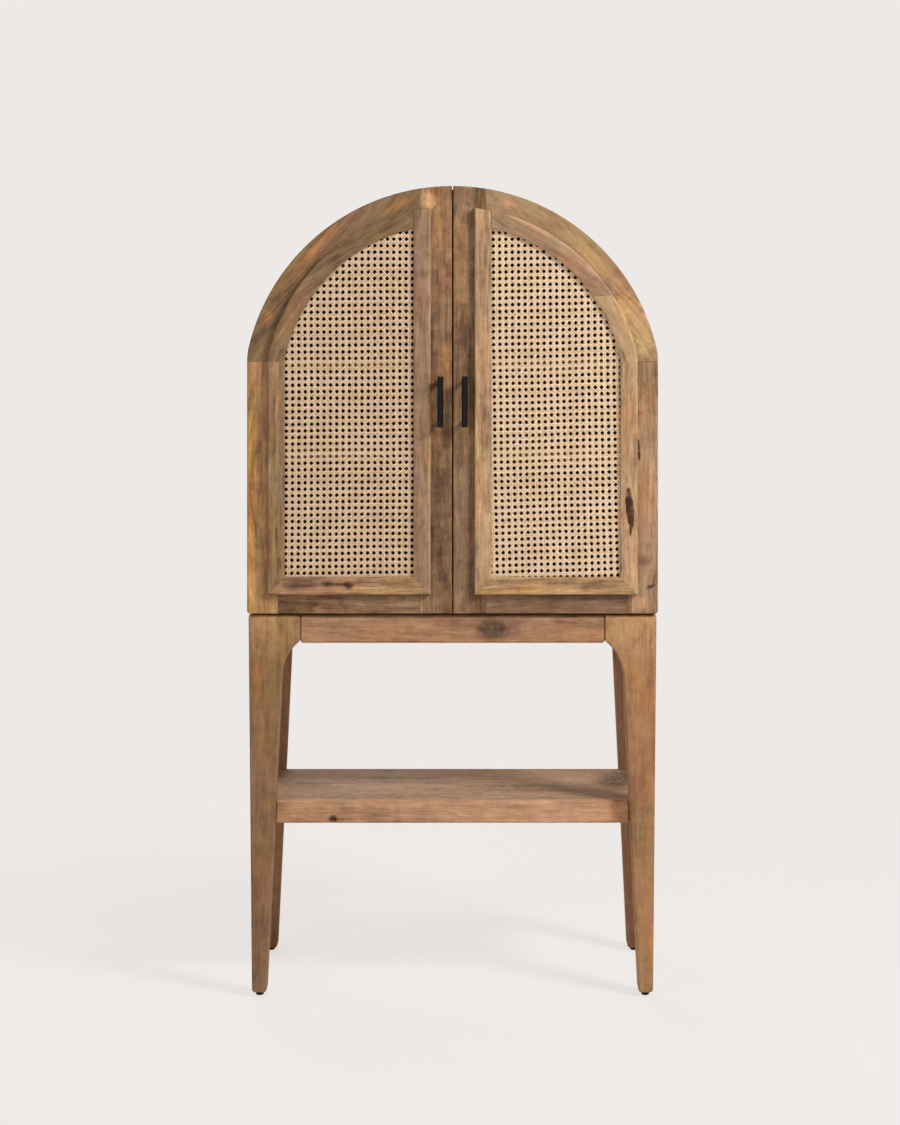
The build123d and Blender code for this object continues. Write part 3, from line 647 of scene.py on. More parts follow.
@dataclass(frozen=True)
class Cane:
    """Split cane: pale glossy strips that differ in colour from strand to strand.

    Attributes:
        name: Name of the material.
        base: Display colour of 0 to 255 a channel.
    """

    name: str
    base: Colour

    def material(self) -> bpy.types.Material:
        """Build the material: strands of four shades with patches, fibres and painted shade at their edges.

        It reads each strand's chance value, the run along it and the place across it. The run is
        shifted by the chance value, so that no two strands have the same patches.
        """
        graph = Graph(bpy.data.materials.new(self.name))
        chance, along, across = graph.split(graph.attribute("strand", vector=True))
        run = graph.math("MULTIPLY_ADD", chance, 91.0, graph.math("MULTIPLY", along, 0.05))

        def streaks(lengthwise: float, crosswise: float, detail: float) -> Any:
            """Return noise with counts of cells along and across the strand."""
            parts = {0: graph.math("MULTIPLY", run, lengthwise), 2: chance}
            parts[1] = graph.math("MULTIPLY", across, crosswise)
            return graph.noise(graph.node("CombineXYZ", parts).outputs[0], detail, 0.6)

        patch, fibre = streaks(1.0, 0.6, 3.0), streaks(3.0, 26.0, 2.0)
        base = linear(*self.base)
        shades = [
            (0.0, (0.76, 0.68, 0.55)),
            (0.35, (0.96, 0.94, 0.86)),
            (0.7, (1.04, 1.00, 1.02)),
            (1.0, (1.16, 1.18, 1.18)),
        ]
        colour = graph.ramp(chance, shades, base)
        layers = (
            (patch, 0.55, 0.72, 0.55, (0.86, 0.74, 0.56)),
            (patch, 0.42, 0.28, 0.5, (1.06, 0.92, 0.92)),
            (fibre, 0.5, 0.7, 0.55, (0.62, 0.52, 0.38)),
            # painted shade: each strand darker and warmer towards its edges, round the holes
            (graph.math("ABSOLUTE", across), 0.5, 1.0, 0.85, (0.40, 0.24, 0.09)),
        )
        for mask, low, high, share, shade in layers:
            colour = graph.blend(graph.span(mask, low, high, 0.0, share), colour, scaled(base, shade))
        rough = graph.math("MULTIPLY_ADD", fibre, 0.2, 0.34)
        return graph.finish(colour, rough, graph.bump(fibre, 0.3, 0.0002))


@dataclass(frozen=True)
class Metal:
    """Bare, plated or painted metal, or plastic.

    Attributes:
        name: Name of the material.
        base: Display colour of 0 to 255 a channel.
        metallic: 1 for bare or plated metal and 0 for paint and plastic.
        rough: Roughness of its clean surface.
        worn: Display colour where it is rubbed.
        sheen: Strength of plain reflection.
        cells: Noise cells to a metre.
    """

    name: str
    base: Colour
    metallic: float
    rough: float
    worn: Colour
    sheen: float = 0.5
    cells: float = 160.0

    def material(self) -> bpy.types.Material:
        """Build the material: clouded colour, rubbed rims, uneven gloss and a fine orange peel."""
        graph = Graph(bpy.data.materials.new(self.name))
        place = graph.vector("MULTIPLY", graph.place(), (self.cells,) * 3)
        cloud = graph.noise(place, 4.0, 0.6)
        peel = graph.noise(graph.vector("MULTIPLY", place, (14.0,) * 3), 2.0, 0.6)
        colour = graph.ramp(cloud, [(0.3, (0.8,) * 3), (0.7, (1.2,) * 3)], linear(*self.base))
        rim = graph.math("MULTIPLY", graph.attribute("rim"), graph.span(cloud, 0.4, 0.65, 0.0, 0.35))
        colour = graph.blend(rim, colour, linear(*self.worn))
        rough = graph.math("MULTIPLY_ADD", cloud, 0.22, self.rough - 0.11)
        fixed = {"Metallic": self.metallic, "Specular_IOR_Level": self.sheen}
        return graph.finish(colour, rough, graph.bump(peel, 0.25, 0.0001), **fixed)


ENAMEL = Metal("black_enamel", (5, 5, 6), 0.0, 0.4, (56, 54, 52), sheen=0.16)
PLASTIC = Metal("black_plastic", (14, 14, 15), 0.0, 0.5, (40, 40, 40), sheen=0.15)
ZINC = Metal("zinc_plate", (158, 158, 156), 1.0, 0.38, (200, 200, 200))
CANES = {
    Side.LEFT: Cane("left_cane", (210, 185, 154)),
    Side.RIGHT: Cane("right_cane", (225, 200, 170)),
}
Finish = Wood | Cane | Metal


# --------------------------------------------------------------------------- studio


@dataclass
class Studio:
    """Camera, soft lights, pale floor and pale surroundings.

    Attributes:
        paper: Linear colour of floor and surroundings.
        shade: Share of its real light and shadow that the floor shows near the object.
        ambient: Strength of the soft light from all round.
    """

    paper: Colour = field(default_factory=lambda: linear(237, 233, 230))
    shade: float = 0.17
    ambient: float = 0.17

    def build(self) -> None:
        """Put up the camera, the lights, the floor and the surroundings."""
        self.camera()
        self.area("key_light", (2.9, -2.4, 3.6), (0.0, 0.0, 1.0), 1.1, 215.0)
        self.area("fill_light", (-2.6, -3.4, 2.3), (0.0, 0.0, 0.85), 1.3, 38.0)
        self.area("front_light", (0.4, -4.8, 1.9), (0.0, 0.0, 0.7), 2.4, 20.0)
        self.area("back_light", (-1.2, 4.2, 2.8), (0.0, 0.0, 0.9), 2.6, 120.0)
        self.area("side_light", (-4.2, 1.3, 2.1), (0.0, 0.1, 0.8), 2.2, 45.0)
        self.floor()
        self.surroundings()

    def camera(self) -> None:
        """Add the camera, level and straight in front, with the view shifted down."""
        data = bpy.data.cameras.new("camera")
        data.lens = 87.7
        data.sensor_width = 36.0
        data.sensor_fit = "AUTO"
        data.shift_y = -0.291
        data.clip_end = 60.0
        camera = bpy.data.objects.new("camera", data)
        camera.location = (-0.005, -5.579, 1.503)
        camera.rotation_euler = (math.pi / 2.0, 0.0, 0.0)
        bpy.context.scene.collection.objects.link(camera)
        bpy.context.scene.camera = camera

    def area(self, name: str, place: Point, target: Point, size: float, power: float) -> None:
        """Add a square soft light.

        Args:
            name: Name of the light.
            place: Its middle in metres.
            target: Point that it faces.
            size: Its side in metres.
            power: Its power in watts.
        """
        data = bpy.data.lights.new(name, "AREA")
        data.shape = "SQUARE"
        data.size = size
        data.energy = power
        lamp = bpy.data.objects.new(name, data)
        lamp.location = place
        ahead = np.array(target) - np.array(place)
        flat = math.hypot(ahead[0], ahead[1])
        lamp.rotation_euler = (math.atan2(flat, -ahead[2]), 0.0, math.atan2(-ahead[0], ahead[1]))
        bpy.context.scene.collection.objects.link(lamp)

    def floor(self) -> None:
        """Add the floor: paper that fades into the surroundings away from the object.

        The share of real light and shadow falls by a smooth step of the distance from the middle,
        between two distances in metres.
        """
        half, points, fade, cells = 9.0, 7, (0.45, 2.2), 300.0
        steps = np.linspace(-half, half, points) / MM
        skin = Skin().grid(placed(steps[:, None], steps[None, :], np.zeros((1, 1))))
        floor = skin.make("floor", turn=False)
        graph = Graph(bpy.data.materials.new("paper_floor"))
        near = graph.span(graph.vector("LENGTH", graph.place()), *fade, self.shade, 0.0)
        grain = graph.noise(graph.vector("MULTIPLY", graph.place(), (cells,) * 3), 2.0, 0.5)
        grain = graph.math("MULTIPLY", grain, 0.02)
        shade = graph.blend(grain, self.paper, scaled(self.paper, (0.9,) * 3))
        plain = graph.node("BsdfDiffuse", {"Color": shade, "Roughness": 0.0}).outputs[0]
        glow = graph.node("Emission", {"Color": self.paper, "Strength": 1.0}).outputs[0]
        share = graph.math("MULTIPLY", graph.seen(), graph.math("SUBTRACT", 1.0, near))
        mixed = graph.node("MixShader", {0: share, 1: plain, 2: glow}).outputs[0]
        graph.node("OutputMaterial", {0: mixed})
        floor.data.materials.append(graph.owner)

    def surroundings(self) -> None:
        """Light softly from all round, and show paper where a ray leaves the scene."""
        world = bpy.data.worlds.new("surroundings")
        bpy.context.scene.world = world
        graph = Graph(world)
        white = {"Color": (1.0, 1.0, 1.0), "Strength": self.ambient}
        soft = graph.node("Background", white).outputs[0]
        paper = graph.node("Background", {"Color": self.paper}).outputs[0]
        mixed = graph.node("MixShader", {0: graph.seen(), 1: soft, 2: paper}).outputs[0]
        graph.node("OutputWorld", {0: mixed})


# --------------------------------------------------------------------------- shapes of the doors


@dataclass(frozen=True)
class Arch:
    """Outline of a door: a crown arc that runs through a tighter shoulder into an upright edge.

    Attributes:
        crown_z: Height of the crown arc's middle, which is at x = 0.
        crown_radius: Radius of the crown arc.
        shoulder_x: Place of the shoulder arc's middle.
        shoulder_radius: Radius of the shoulder arc.
        spring_z: Height at which the upright edge ends and of the shoulder arc's middle.
    """

    crown_z: float = 1187.007
    crown_radius: float = 413.0
    shoulder_x: float = 276.5
    shoulder_radius: float = 128.5
    spring_z: float = 1254.0

    @property
    def turn(self) -> float:
        """Angle at which the shoulder arc becomes the crown arc."""
        return math.atan2(self.spring_z - self.crown_z, self.shoulder_x)

    @property
    def half_width(self) -> float:
        """Distance of the upright edge from the middle."""
        return self.shoulder_x + self.shoulder_radius

    def at(self, angle: np.ndarray, inset: np.ndarray) -> tuple[np.ndarray, np.ndarray]:
        """Return x and z at an angle, inside the outline.

        Below the turn the point is the shoulder's middle plus its radius, less the inset, along
        the angle. Above it the point is the same from the crown's middle.

        Args:
            angle: Angle from x in radians.
            inset: Distance inside the outline.

        Returns:
            The two coordinates.
        """
        low = angle < self.turn
        radius = np.where(low, self.shoulder_radius, self.crown_radius) - inset
        x = np.where(low, self.shoulder_x, 0.0) + radius * np.cos(angle)
        z = np.where(low, self.spring_z, self.crown_z) + radius * np.sin(angle)
        return x, z

    def inside(self, x: np.ndarray, z: np.ndarray, inset: float) -> np.ndarray:
        """Say which points lie inside the outline by at least an inset.

        Args:
            x: Distances from the middle.
            z: Heights.
            inset: Distance inside the outline.

        Returns:
            Whether each point does.
        """
        upright = x <= self.half_width - inset
        shoulder = np.hypot(x - self.shoulder_x, z - self.spring_z) <= self.shoulder_radius - inset
        crown = np.hypot(x, z - self.crown_z) <= self.crown_radius - inset
        beyond = (x - self.shoulder_x) * math.tan(self.turn) > z - self.spring_z
        return np.where(z <= self.spring_z, upright, np.where(beyond, shoulder, crown))


@dataclass
class Moulding:
    """Raised moulding round a door's cane: high outside, falling to a thin lip inside.

    Attributes:
        side: Door that it is on.
        arch: Outline of the door.
        low: Height of its lip.
        flat: Width of its level part.
        outer_round: Radius of its outer edge.
        lip_round: Radius of its lip.
        gap: Half width of the hairline at a joint.
        dressed_run: Length over which the arch is dressed down at the crown.
        dressed_rise: How far it stays above the lip there.
        stations: Places along each length at which the section is drawn.
        centre_x: Its outer edge on the centre stile.
        bottom_z: Its outer edge on the bottom rail.
        face_y: Door's front face.
        width: Width of the moulding.
        high: Height of its outer edge.
        inset: Distance of its outer edge inside the door's outline.
        joint_z: Height of the joint in its arched part.
    """

    side: Side
    arch: Arch
    low: float = 5.0
    flat: float = 6.0
    outer_round: float = 3.0
    lip_round: float = 1.5
    gap: float = 0.12
    dressed_run: float = 34.0
    dressed_rise: float = 1.2
    stations: int = 60
    centre_x: float = field(init=False)
    bottom_z: float = field(init=False)
    face_y: float = field(init=False)
    width: float = field(init=False)
    high: float = field(init=False)
    inset: float = field(init=False)
    joint_z: float = field(init=False)

    def __post_init__(self) -> None:
        """Take the places that the frame's own mouldings give."""
        centre = box_of(self.side.named("centre_moulding"))
        (self.centre_x, front, self.bottom_z), (inner_x, self.face_y, _) = centre
        self.width, self.high = inner_x - self.centre_x, self.face_y - front
        self.inset = self.arch.half_width - box_of(self.side.named("outer_moulding"))[1, 0]
        self.joint_z = box_of(self.side.named("lower_arch_moulding"))[1, 2]

    def section(self) -> tuple[np.ndarray, np.ndarray, np.ndarray]:
        """Work out the section: a quarter round, a level part, a slope and a small rounded lip.

        The quarter round is its middle plus its radius along an angle that falls from 180 to 90
        degrees. The lip is a curve of the second degree between the slope and the inner wall.

        Returns:
            Distance inwards, height over the door's face and wear of each point of the ring.
        """
        turn = np.linspace(math.pi, math.pi / 2.0, 7)
        round_w = self.outer_round * (1.0 + np.cos(turn))
        round_h = self.high - self.outer_round * (1.0 - np.sin(turn))
        fall = (self.high - self.low) / (self.width - self.flat)
        slope_w = self.flat + np.array([0.0, 0.4, 0.8, 0.93]) * (self.width - self.flat)
        slope_h = self.high - fall * (slope_w - self.flat)
        share = np.linspace(0.0, 1.0, 6)
        start = self.width - self.lip_round
        lip_w = (1 - share) ** 2 * start + (1 - (1 - share) ** 2) * self.width
        lip_h = (1 - share) ** 2 * (self.low + fall * self.lip_round)
        lip_h = lip_h + 2 * share * (1 - share) * self.low + share**2 * (self.low - self.lip_round)
        w = np.concatenate([[0.0], round_w, slope_w, lip_w, [self.width]])
        h = np.concatenate([[0.0], round_h, slope_h, lip_h, [0.0]])
        round_worn, slope_worn = np.sin(2 * turn - math.pi) ** 2, [0.3, 0.0, 0.0, 0.0]
        worn = np.concatenate([[0.0], round_worn, slope_worn, 4 * share * (1 - share), [0.0]])
        return w, h, worn

    def piece(
        self, name: str, x: np.ndarray, z: np.ndarray, h: np.ndarray, worn: np.ndarray
    ) -> bpy.types.Object:
        """Make one length of moulding of its swept ring and its two ends.

        Args:
            name: Name of the solid that it stands for, without its side.
            x: Distances from the middle of (stations, ring) points.
            z: Their heights.
            h: How far they stand before the door's face, for the ring or for each point.
            worn: Wear of the ring's points.

        Returns:
            The piece.
        """
        points = placed(self.side.value * x, self.face_y - np.atleast_2d(h), z)
        skin = Skin().grid(points, worn[None, :], wrap=True).cap(points[0]).cap(points[-1])
        return skin.make(self.side.named(f"{name}_shaped"))

    def build(self) -> dict[str, bpy.types.Object]:
        """Sweep the section along each of the five lengths, between mitred or butted ends.

        A point at distance w inside the outer edge runs along that edge's own parallel: straight
        beside the stiles and the rail, and at the outline's inset plus w in the arch. At the foot
        its ends are where that parallel meets the parallel of the neighbouring length. At the
        crown the upright length runs through to the arch's outer edge, and the arch butts against
        its inner edge, with its last stretch dressed down towards it by a smooth step.

        Returns:
            The five pieces by the name of the solid that each stands for.
        """
        w, h, worn = self.section()
        w_row = w[None, :]
        share = np.linspace(0.0, 1.0, self.stations)[:, None]
        crown = self.arch.crown_radius - self.inset - w_row
        left, base = self.centre_x + w_row, self.bottom_z + w_row
        edge = self.arch.half_width - self.inset - w_row
        peak = self.arch.crown_z + np.sqrt(crown[0, 0] ** 2 - left**2)
        joint = np.arcsin((self.joint_z - self.arch.crown_z) / crown)
        end = np.arccos((self.centre_x + self.width) / crown)
        nick = self.gap / crown
        near = np.clip(1.0 - (1.0 - share) * (end - joint) * crown / self.dressed_run, 0.0, 1.0)
        lowered = np.minimum(h, self.low + self.dressed_rise)
        dressed = h + near * near * (3.0 - 2.0 * near) * (lowered - h)
        lower = self.arch.at(share * (joint - nick) + (1 - share) * 2 * nick, self.inset + w_row)
        upper = self.arch.at(share * (end - nick) + (1 - share) * (joint + nick), self.inset + w_row)
        rise = self.gap + share * (self.arch.spring_z - base - 2 * self.gap)
        tall = self.gap + share * (peak - base - 2 * self.gap)
        wide = self.gap + share * (edge - left - 2 * self.gap)
        ones = np.ones_like(share)
        lengths = {
            "centre_moulding": (left * ones, base + tall, h),
            "outer_moulding": (edge * ones, base + rise, h),
            "bottom_moulding": (left + wide, base * ones, h),
            "lower_arch_moulding": (*lower, h),
            "upper_arch_moulding": (*upper, dressed),
        }
        return {name: self.piece(name, *places, worn) for name, places in lengths.items()}


@dataclass
class Weave:
    """Woven cane panel: upright and level pairs of strands, and two ways of slanting ones.

    Attributes:
        side: Door that it is in.
        arch: Outline of the door.
        first_x: Place of the innermost column of holes, as a distance from the middle.
        first_z: Height of a row of holes.
        lean: How far outwards the lowest holes lie from their columns.
        tilt: Slope of the rows, upwards to the outside.
        sink: How far the lower rows lie below their even places.
        sink_from: Height from which rows sink.
        seed: Seed of the chance values.
        pitch_x: Distance between columns of holes.
        pitch_z: Distance between rows of holes.
        reach_x: Stretch over which columns are laid out, a little past the panel.
        reach_z: Stretch over which rows are laid out, a little past the panel.
        depth: Depth of the weave's middle behind the panel's face.
        margin: How far strands end inside the panel's outline and its bottom edge.
        stile_margin: The same at the centre stile.
        pair_half: Half distance of the two strands of a pair.
        strand_half: Half width of a strand.
        thick: Half thickness of a strand.
        pair_lift: How far the strands of pairs rise over each other.
        slant_lift: How far slanting strands rise over and under the pairs.
        level_from: Distance from a crossing beyond which a strand of a pair lies level.
        stray: Spread of the strands of pairs about their even places.
        slant_stray: The same for slanting strands.
        middle_y: Place of the weave's middle.
        inset: Distance of the strands' ends inside the door's outline.
        inner_x: Their ends at the centre stile.
        bottom_z: Their ends at the bottom rail.
    """

    side: Side
    arch: Arch
    first_x: float
    first_z: float
    lean: float
    tilt: float
    sink: float
    sink_from: float
    seed: int
    pitch_x: float = 12.45
    pitch_z: float = 12.75
    reach_x: tuple[float, float] = (45.0, 360.0)
    reach_z: tuple[float, float] = (800.0, 1570.0)
    depth: float = 1.2
    margin: float = 0.3
    stile_margin: float = 0.25
    pair_half: float = 1.46
    strand_half: float = 1.26
    thick: float = 0.17
    pair_lift: float = 0.26
    slant_lift: float = 0.7
    level_from: float = 3.5
    stray: float = 0.07
    slant_stray: float = 0.06
    middle_y: float = field(init=False)
    inset: float = field(init=False)
    inner_x: float = field(init=False)
    bottom_z: float = field(init=False)

    def __post_init__(self) -> None:
        """Take the places that the frame's own panel gives."""
        (low_x, front, low_z), (high_x, _, _) = box_of(self.side.named("cane_panel"))
        self.middle_y = front + self.depth
        self.inset = self.arch.half_width - high_x + self.margin
        self.inner_x, self.bottom_z = low_x + self.stile_margin, low_z + self.margin

    def warp(self, x: np.ndarray, z: np.ndarray) -> tuple[np.ndarray, np.ndarray]:
        """Move points of the even lattice, as hand-stretched webbing lies.

        The lean grows with a power of the depth below a height, the tilt turns rows about a place
        and fades out towards the crown, and the sink grows evenly over a stretch. Slow waves are
        added to all of it.

        Args:
            x: Distances from the middle.
            z: Heights.

        Returns:
            The moved points' distances and heights.
        """
        lean_from, lean_over, lean_power, deepest = 1390.0, 540.0, 1.8, 1.2
        turned_about, level_at, fade = 215.0, 1560.0, 230.0
        sink_over = 320.0
        phase = 1.0 + self.side.value
        depth = np.clip((lean_from - z) / lean_over, 0.0, deepest)
        turned = self.tilt * np.clip((level_at - z) / fade, 0.0, 1.0)
        sunk = self.sink * np.clip((self.sink_from - z) / sink_over, 0.0, 1.0)
        x_new = x + self.lean * depth**lean_power + 0.4 * np.sin(z / 96.0 + phase)
        x_new = x_new + 0.25 * np.sin(z / 37.0 + x / 80.0)
        z_new = z + turned * (x - turned_about) - sunk + 0.3 * np.sin(x / 31.0 - z / 90.0)
        return x_new, z_new

    def limits(
        self, x: np.ndarray, z: np.ndarray, place: np.ndarray
    ) -> tuple[np.ndarray, np.ndarray]:
        """Find where each strand enters and leaves the panel.

        Args:
            x: Sample points of (strands, samples).
            z: The same for height.
            place: Their running coordinate.

        Returns:
            The lowest and the highest coordinate inside, one pair a strand.
        """
        x, z = self.warp(x, z)
        inside = self.arch.inside(x, z, self.inset) & (x >= self.inner_x) & (z >= self.bottom_z)
        low = np.where(inside, place, np.inf).min(axis=1)
        high = np.where(inside, place, -np.inf).max(axis=1)
        return low, high

    def family(
        self, name: str, x: np.ndarray, z: np.ndarray, lift: np.ndarray, chance: np.ndarray
    ) -> bpy.types.Object:
        """Make one family of strands a single piece, each strand a tube of flat oval section.

        Each of the section's six points is the line's point, plus the section's width along the
        level direction square to the line, plus its thickness to the front. Its strand values are
        the chance value, the run along the strand and the place across it, from -1 to 1.

        Args:
            name: Name of the family.
            x: Line points of (strands, samples).
            z: The same for height.
            lift: Distance to the front of the weave's middle.
            chance: A value from 0 to 1 for each strand.

        Returns:
            The piece.
        """
        across = np.array([-1.0, -0.55, 0.55, 1.0, 0.55, -0.55])
        deep = self.thick * np.array([0.0, 1.0, 1.0, 0.0, -0.8, -0.8])
        run_x, run_z = np.gradient(x, axis=1), np.gradient(z, axis=1)
        length = np.maximum(np.hypot(run_x, run_z), 1e-9)
        side_x, side_z = run_z / length, -run_x / length
        wide = self.strand_half * (0.95 + 0.1 * chance)[:, None, None] * across
        points = placed(
            self.side.value * (x[..., None] + side_x[..., None] * wide),
            self.middle_y - lift[..., None] - deep,
            z[..., None] + side_z[..., None] * wide,
        )
        run = np.cumsum(length, axis=1)
        values = placed(chance[:, None, None], run[..., None], across)
        skin = Skin()
        for strand, value in zip(points, values):
            skin.grid(strand, strand=value, wrap=True)
        return skin.make(self.side.named(f"cane_{name}"), sharp=75.0, turn=False)

    def bump_between(self, away: np.ndarray) -> np.ndarray:
        """Return an odd wave that is 1 at half a pair's distance and dies away beyond it."""
        share = away / self.pair_half
        return share * np.exp(0.5 * (1.0 - share**2))

    def midlines(self, upright: bool) -> np.ndarray:
        """Return the places midway between columns or rows of holes, over their reach."""
        first, pitch = (self.first_x, self.pitch_x) if upright else (self.first_z, self.pitch_z)
        reach = self.reach_x if upright else self.reach_z
        low, high = ((end - first) / pitch - 0.5 for end in reach)
        return first + pitch / 2.0 + pitch * np.arange(math.floor(low), math.ceil(high) + 1)

    def pairs(self, upright: bool, draw: np.random.Generator) -> bpy.types.Object:
        """Make the upright or the level pairs.

        The strands run along lines midway between holes, half a pair's distance to either side.
        Where a strand meets the strands of the crossing pairs it rises over one and dips under the
        other, by the odd wave of the distance from the crossing's middle.

        Args:
            upright: Whether to make the upright ones.
            draw: Source of chance values.

        Returns:
            The piece.
        """
        shortest, samples = 4.0, 1600
        middles, knots = self.midlines(upright), self.midlines(not upright)
        hand = np.tile([-1.0, 1.0], len(middles))
        line = np.repeat(middles, 2) + hand * self.pair_half
        half = (self.pitch_z if upright else self.pitch_x) / 2.0
        steps = [-half, -self.level_from, -self.pair_half, 0.0, self.pair_half, self.level_from]
        run = (knots[:, None] + steps).reshape(-1)
        wave = np.tile(self.bump_between(np.array(steps)), len(knots))

        def laid(across: np.ndarray, along: np.ndarray) -> tuple[np.ndarray, ...]:
            """Return x and z of points from the strands' places and their running coordinate."""
            both = np.broadcast_arrays(across[:, None], along)
            return tuple(both if upright else both[::-1])

        fine = np.linspace(*(self.reach_z if upright else self.reach_x), samples)[None, :]
        low, high = self.limits(*laid(line, fine), fine)
        kept = high - low > shortest
        line, hand, low, high = line[kept], hand[kept], low[kept], high[kept]
        place = np.clip(run[None, :], low[:, None], high[:, None])
        over = hand[:, None] * (1.0 if upright else -1.0) * self.pair_lift * wave[None, :]
        line = line + draw.normal(0.0, self.stray, len(line))
        chance = draw.random(len(line))
        x, z = self.warp(*laid(line, place))
        return self.family("uprights" if upright else "levels", x, z, over, chance)

    def slants(self, rising: bool, draw: np.random.Generator) -> bpy.types.Object:
        """Make the rising or the falling slanting strands.

        They run along lines on which x over its pitch, less or plus z over its pitch, counted from
        a hole, is a half more than a whole number, so that they cross midway between neighbouring
        holes. Their depth is a cosine of x over its pitch, flattened by a hyperbolic tangent, so
        that a rising one lies over the upright pairs and under the level ones, and a falling one
        the other way round.

        Args:
            rising: Whether to make the rising ones.
            draw: Source of chance values.

        Returns:
            The piece.
        """
        slope = 1.0 if rising else -1.0
        most, first, last, samples = 80, -3, 24, 2200
        shortest, steepness = 0.4, 2.4
        numbers = np.arange(-most, most) + 0.5
        shares = np.array([0.0, 0.15, 0.215, 0.285, 0.35, 0.5, 0.65, 0.715, 0.785, 0.85])
        run = (np.arange(first, last)[:, None] + shares).reshape(-1)

        def line(number: np.ndarray, at: np.ndarray) -> tuple[np.ndarray, np.ndarray]:
            """Return x and z of numbered strands at counts of columns."""
            z = self.first_z + slope * self.pitch_z * (at - number[:, None])
            return np.broadcast_to(self.first_x + self.pitch_x * at, z.shape), z

        fine = np.linspace(first, last, samples)[None, :]
        low, high = self.limits(*line(numbers, fine), fine)
        kept = high - low > shortest
        numbers, low, high = numbers[kept], low[kept], high[kept]
        place = np.clip(run[None, :], low[:, None], high[:, None])
        x, z = line(numbers, place)
        wave = np.tanh(steepness * np.cos(math.tau * place)) / math.tanh(steepness)
        lift = -slope * self.slant_lift * wave
        x, z = self.warp(x + draw.normal(0.0, self.slant_stray, len(numbers))[:, None], z)
        return self.family("rising" if rising else "falling", x, z, lift, draw.random(len(numbers)))

    def build(self) -> list[bpy.types.Object]:
        """Make the four families of strands."""
        draw = np.random.default_rng(self.seed)
        kinds = (self.pairs, self.slants)
        return [kind(first, draw) for kind in kinds for first in (True, False)]


def webbing(side: Side, arch: Arch) -> Weave:
    """Return a door's webbing, stretched by hand in its own way."""
    if side is Side.LEFT:
        own = {"lean": 1.4, "tilt": -0.011, "sink": 7.5, "sink_from": 1508.0, "seed": 6}
        return Weave(side, arch, 78.6, 1508.0, **own)
    own = {"lean": 8.0, "tilt": 0.029, "sink": 2.9, "sink_from": 1390.0, "seed": 8}
    return Weave(side, arch, 80.6, 1508.6, **own)


@dataclass
class Handle:
    """Bar handle on two posts.

    Attributes:
        side: Door that it is on.
        end_round: Radius of the edges of the bar's ends.
        post_end: Length of the chamfer of a post's end, inside the bar.
        bar_points: Points round the bar.
        post_points: Points round a post.
        radius: Radius of the bar.
        x: Place of its middle, with its side's sign.
        bar_y: Depth of the bar's middle.
        low_z: Bottom end of the bar.
        high_z: Top end of the bar.
        post_radius: Radius of a post.
        post_z: Heights of the two posts.
        face_y: Door's front face.
    """

    side: Side
    end_round: float = 1.5
    post_end: float = 3.0
    bar_points: int = 56
    post_points: int = 36
    radius: float = field(init=False)
    x: float = field(init=False)
    bar_y: float = field(init=False)
    low_z: float = field(init=False)
    high_z: float = field(init=False)
    post_radius: float = field(init=False)
    post_z: tuple[float, float] = field(init=False)
    face_y: float = field(init=False)

    def __post_init__(self) -> None:
        """Take the sizes and places of the frame's own bar and posts."""
        (_, front, self.low_z), (outer_x, back, self.high_z) = box_of(self.side.named("handle_bar"))
        self.radius, self.bar_y = (back - front) / 2.0, (back + front) / 2.0
        self.x = self.side.value * (outer_x - self.radius)
        (near_x, _, low), (far_x, self.face_y, high) = box_of(self.side.named("handle_posts"))
        self.post_radius = (far_x - near_x) / 2.0
        self.post_z = (low + self.post_radius, high - self.post_radius)

    def bar(self) -> bpy.types.Object:
        """Turn the bar: a straight tube whose ends round over by a quarter circle."""
        turn = np.linspace(0.0, math.pi / 2.0, 6)
        tip = self.end_round * (1.0 - np.cos(turn))
        ring = self.radius - self.end_round * (1.0 - np.sin(turn))
        length, clear, rings = self.high_z - self.low_z, 4.0, 5
        middle = np.linspace(clear, length - clear, rings)
        s = np.concatenate([[0.0], tip, middle, (length - tip)[::-1], [length]])
        r = np.concatenate([[0.0], ring, np.full(rings, self.radius), ring[::-1], [0.0]])
        edge = np.sin(2 * turn)
        rim = np.concatenate([[0.0], edge, np.zeros(rings), edge[::-1], [0.0]])
        start, profile = (self.x, self.bar_y, self.low_z), np.stack([s, r], axis=1)
        points = lathe(start, (0, 0, 1), profile, self.bar_points)
        return Skin().grid(points, rim[:, None], wrap=True).make(self.side.named("bar_turned"))

    def posts(self) -> bpy.types.Object:
        """Turn the posts: straight from the door's face, with a chamfered end inside the bar."""
        short, taper, r = 1.0, 1.0, self.post_radius
        end = self.face_y - self.bar_y - short
        s = [0.0, 0.0, 0.6, 1.4, end - self.post_end, end, end]
        profile = np.stack([s, [0.0, r, r, r, r, r - taper, 0.0]], axis=1)
        skin = Skin()
        for z in self.post_z:
            points = lathe((self.x, self.face_y, z), (0, -1, 0), profile, self.post_points)
            skin.grid(points, wrap=True)
        return skin.make(self.side.named("posts_turned"))


# --------------------------------------------------------------------------- boards


def joints(side: Side) -> dict[str, tuple[Seam, ...]]:
    """Return the hairlines of a door's frame boards by board."""
    spring = Seam(2, box_of(side.named("arch_rail"))[0, 2])
    inner, outer = (Seam(0, side.value * x) for x in box_of(side.named("bottom_rail"))[:, 0])
    return {
        "arch_rail": (spring, inner),
        "centre_stile": (inner,),
        "outer_stile": (spring, outer),
        "bottom_rail": (inner, outer),
    }


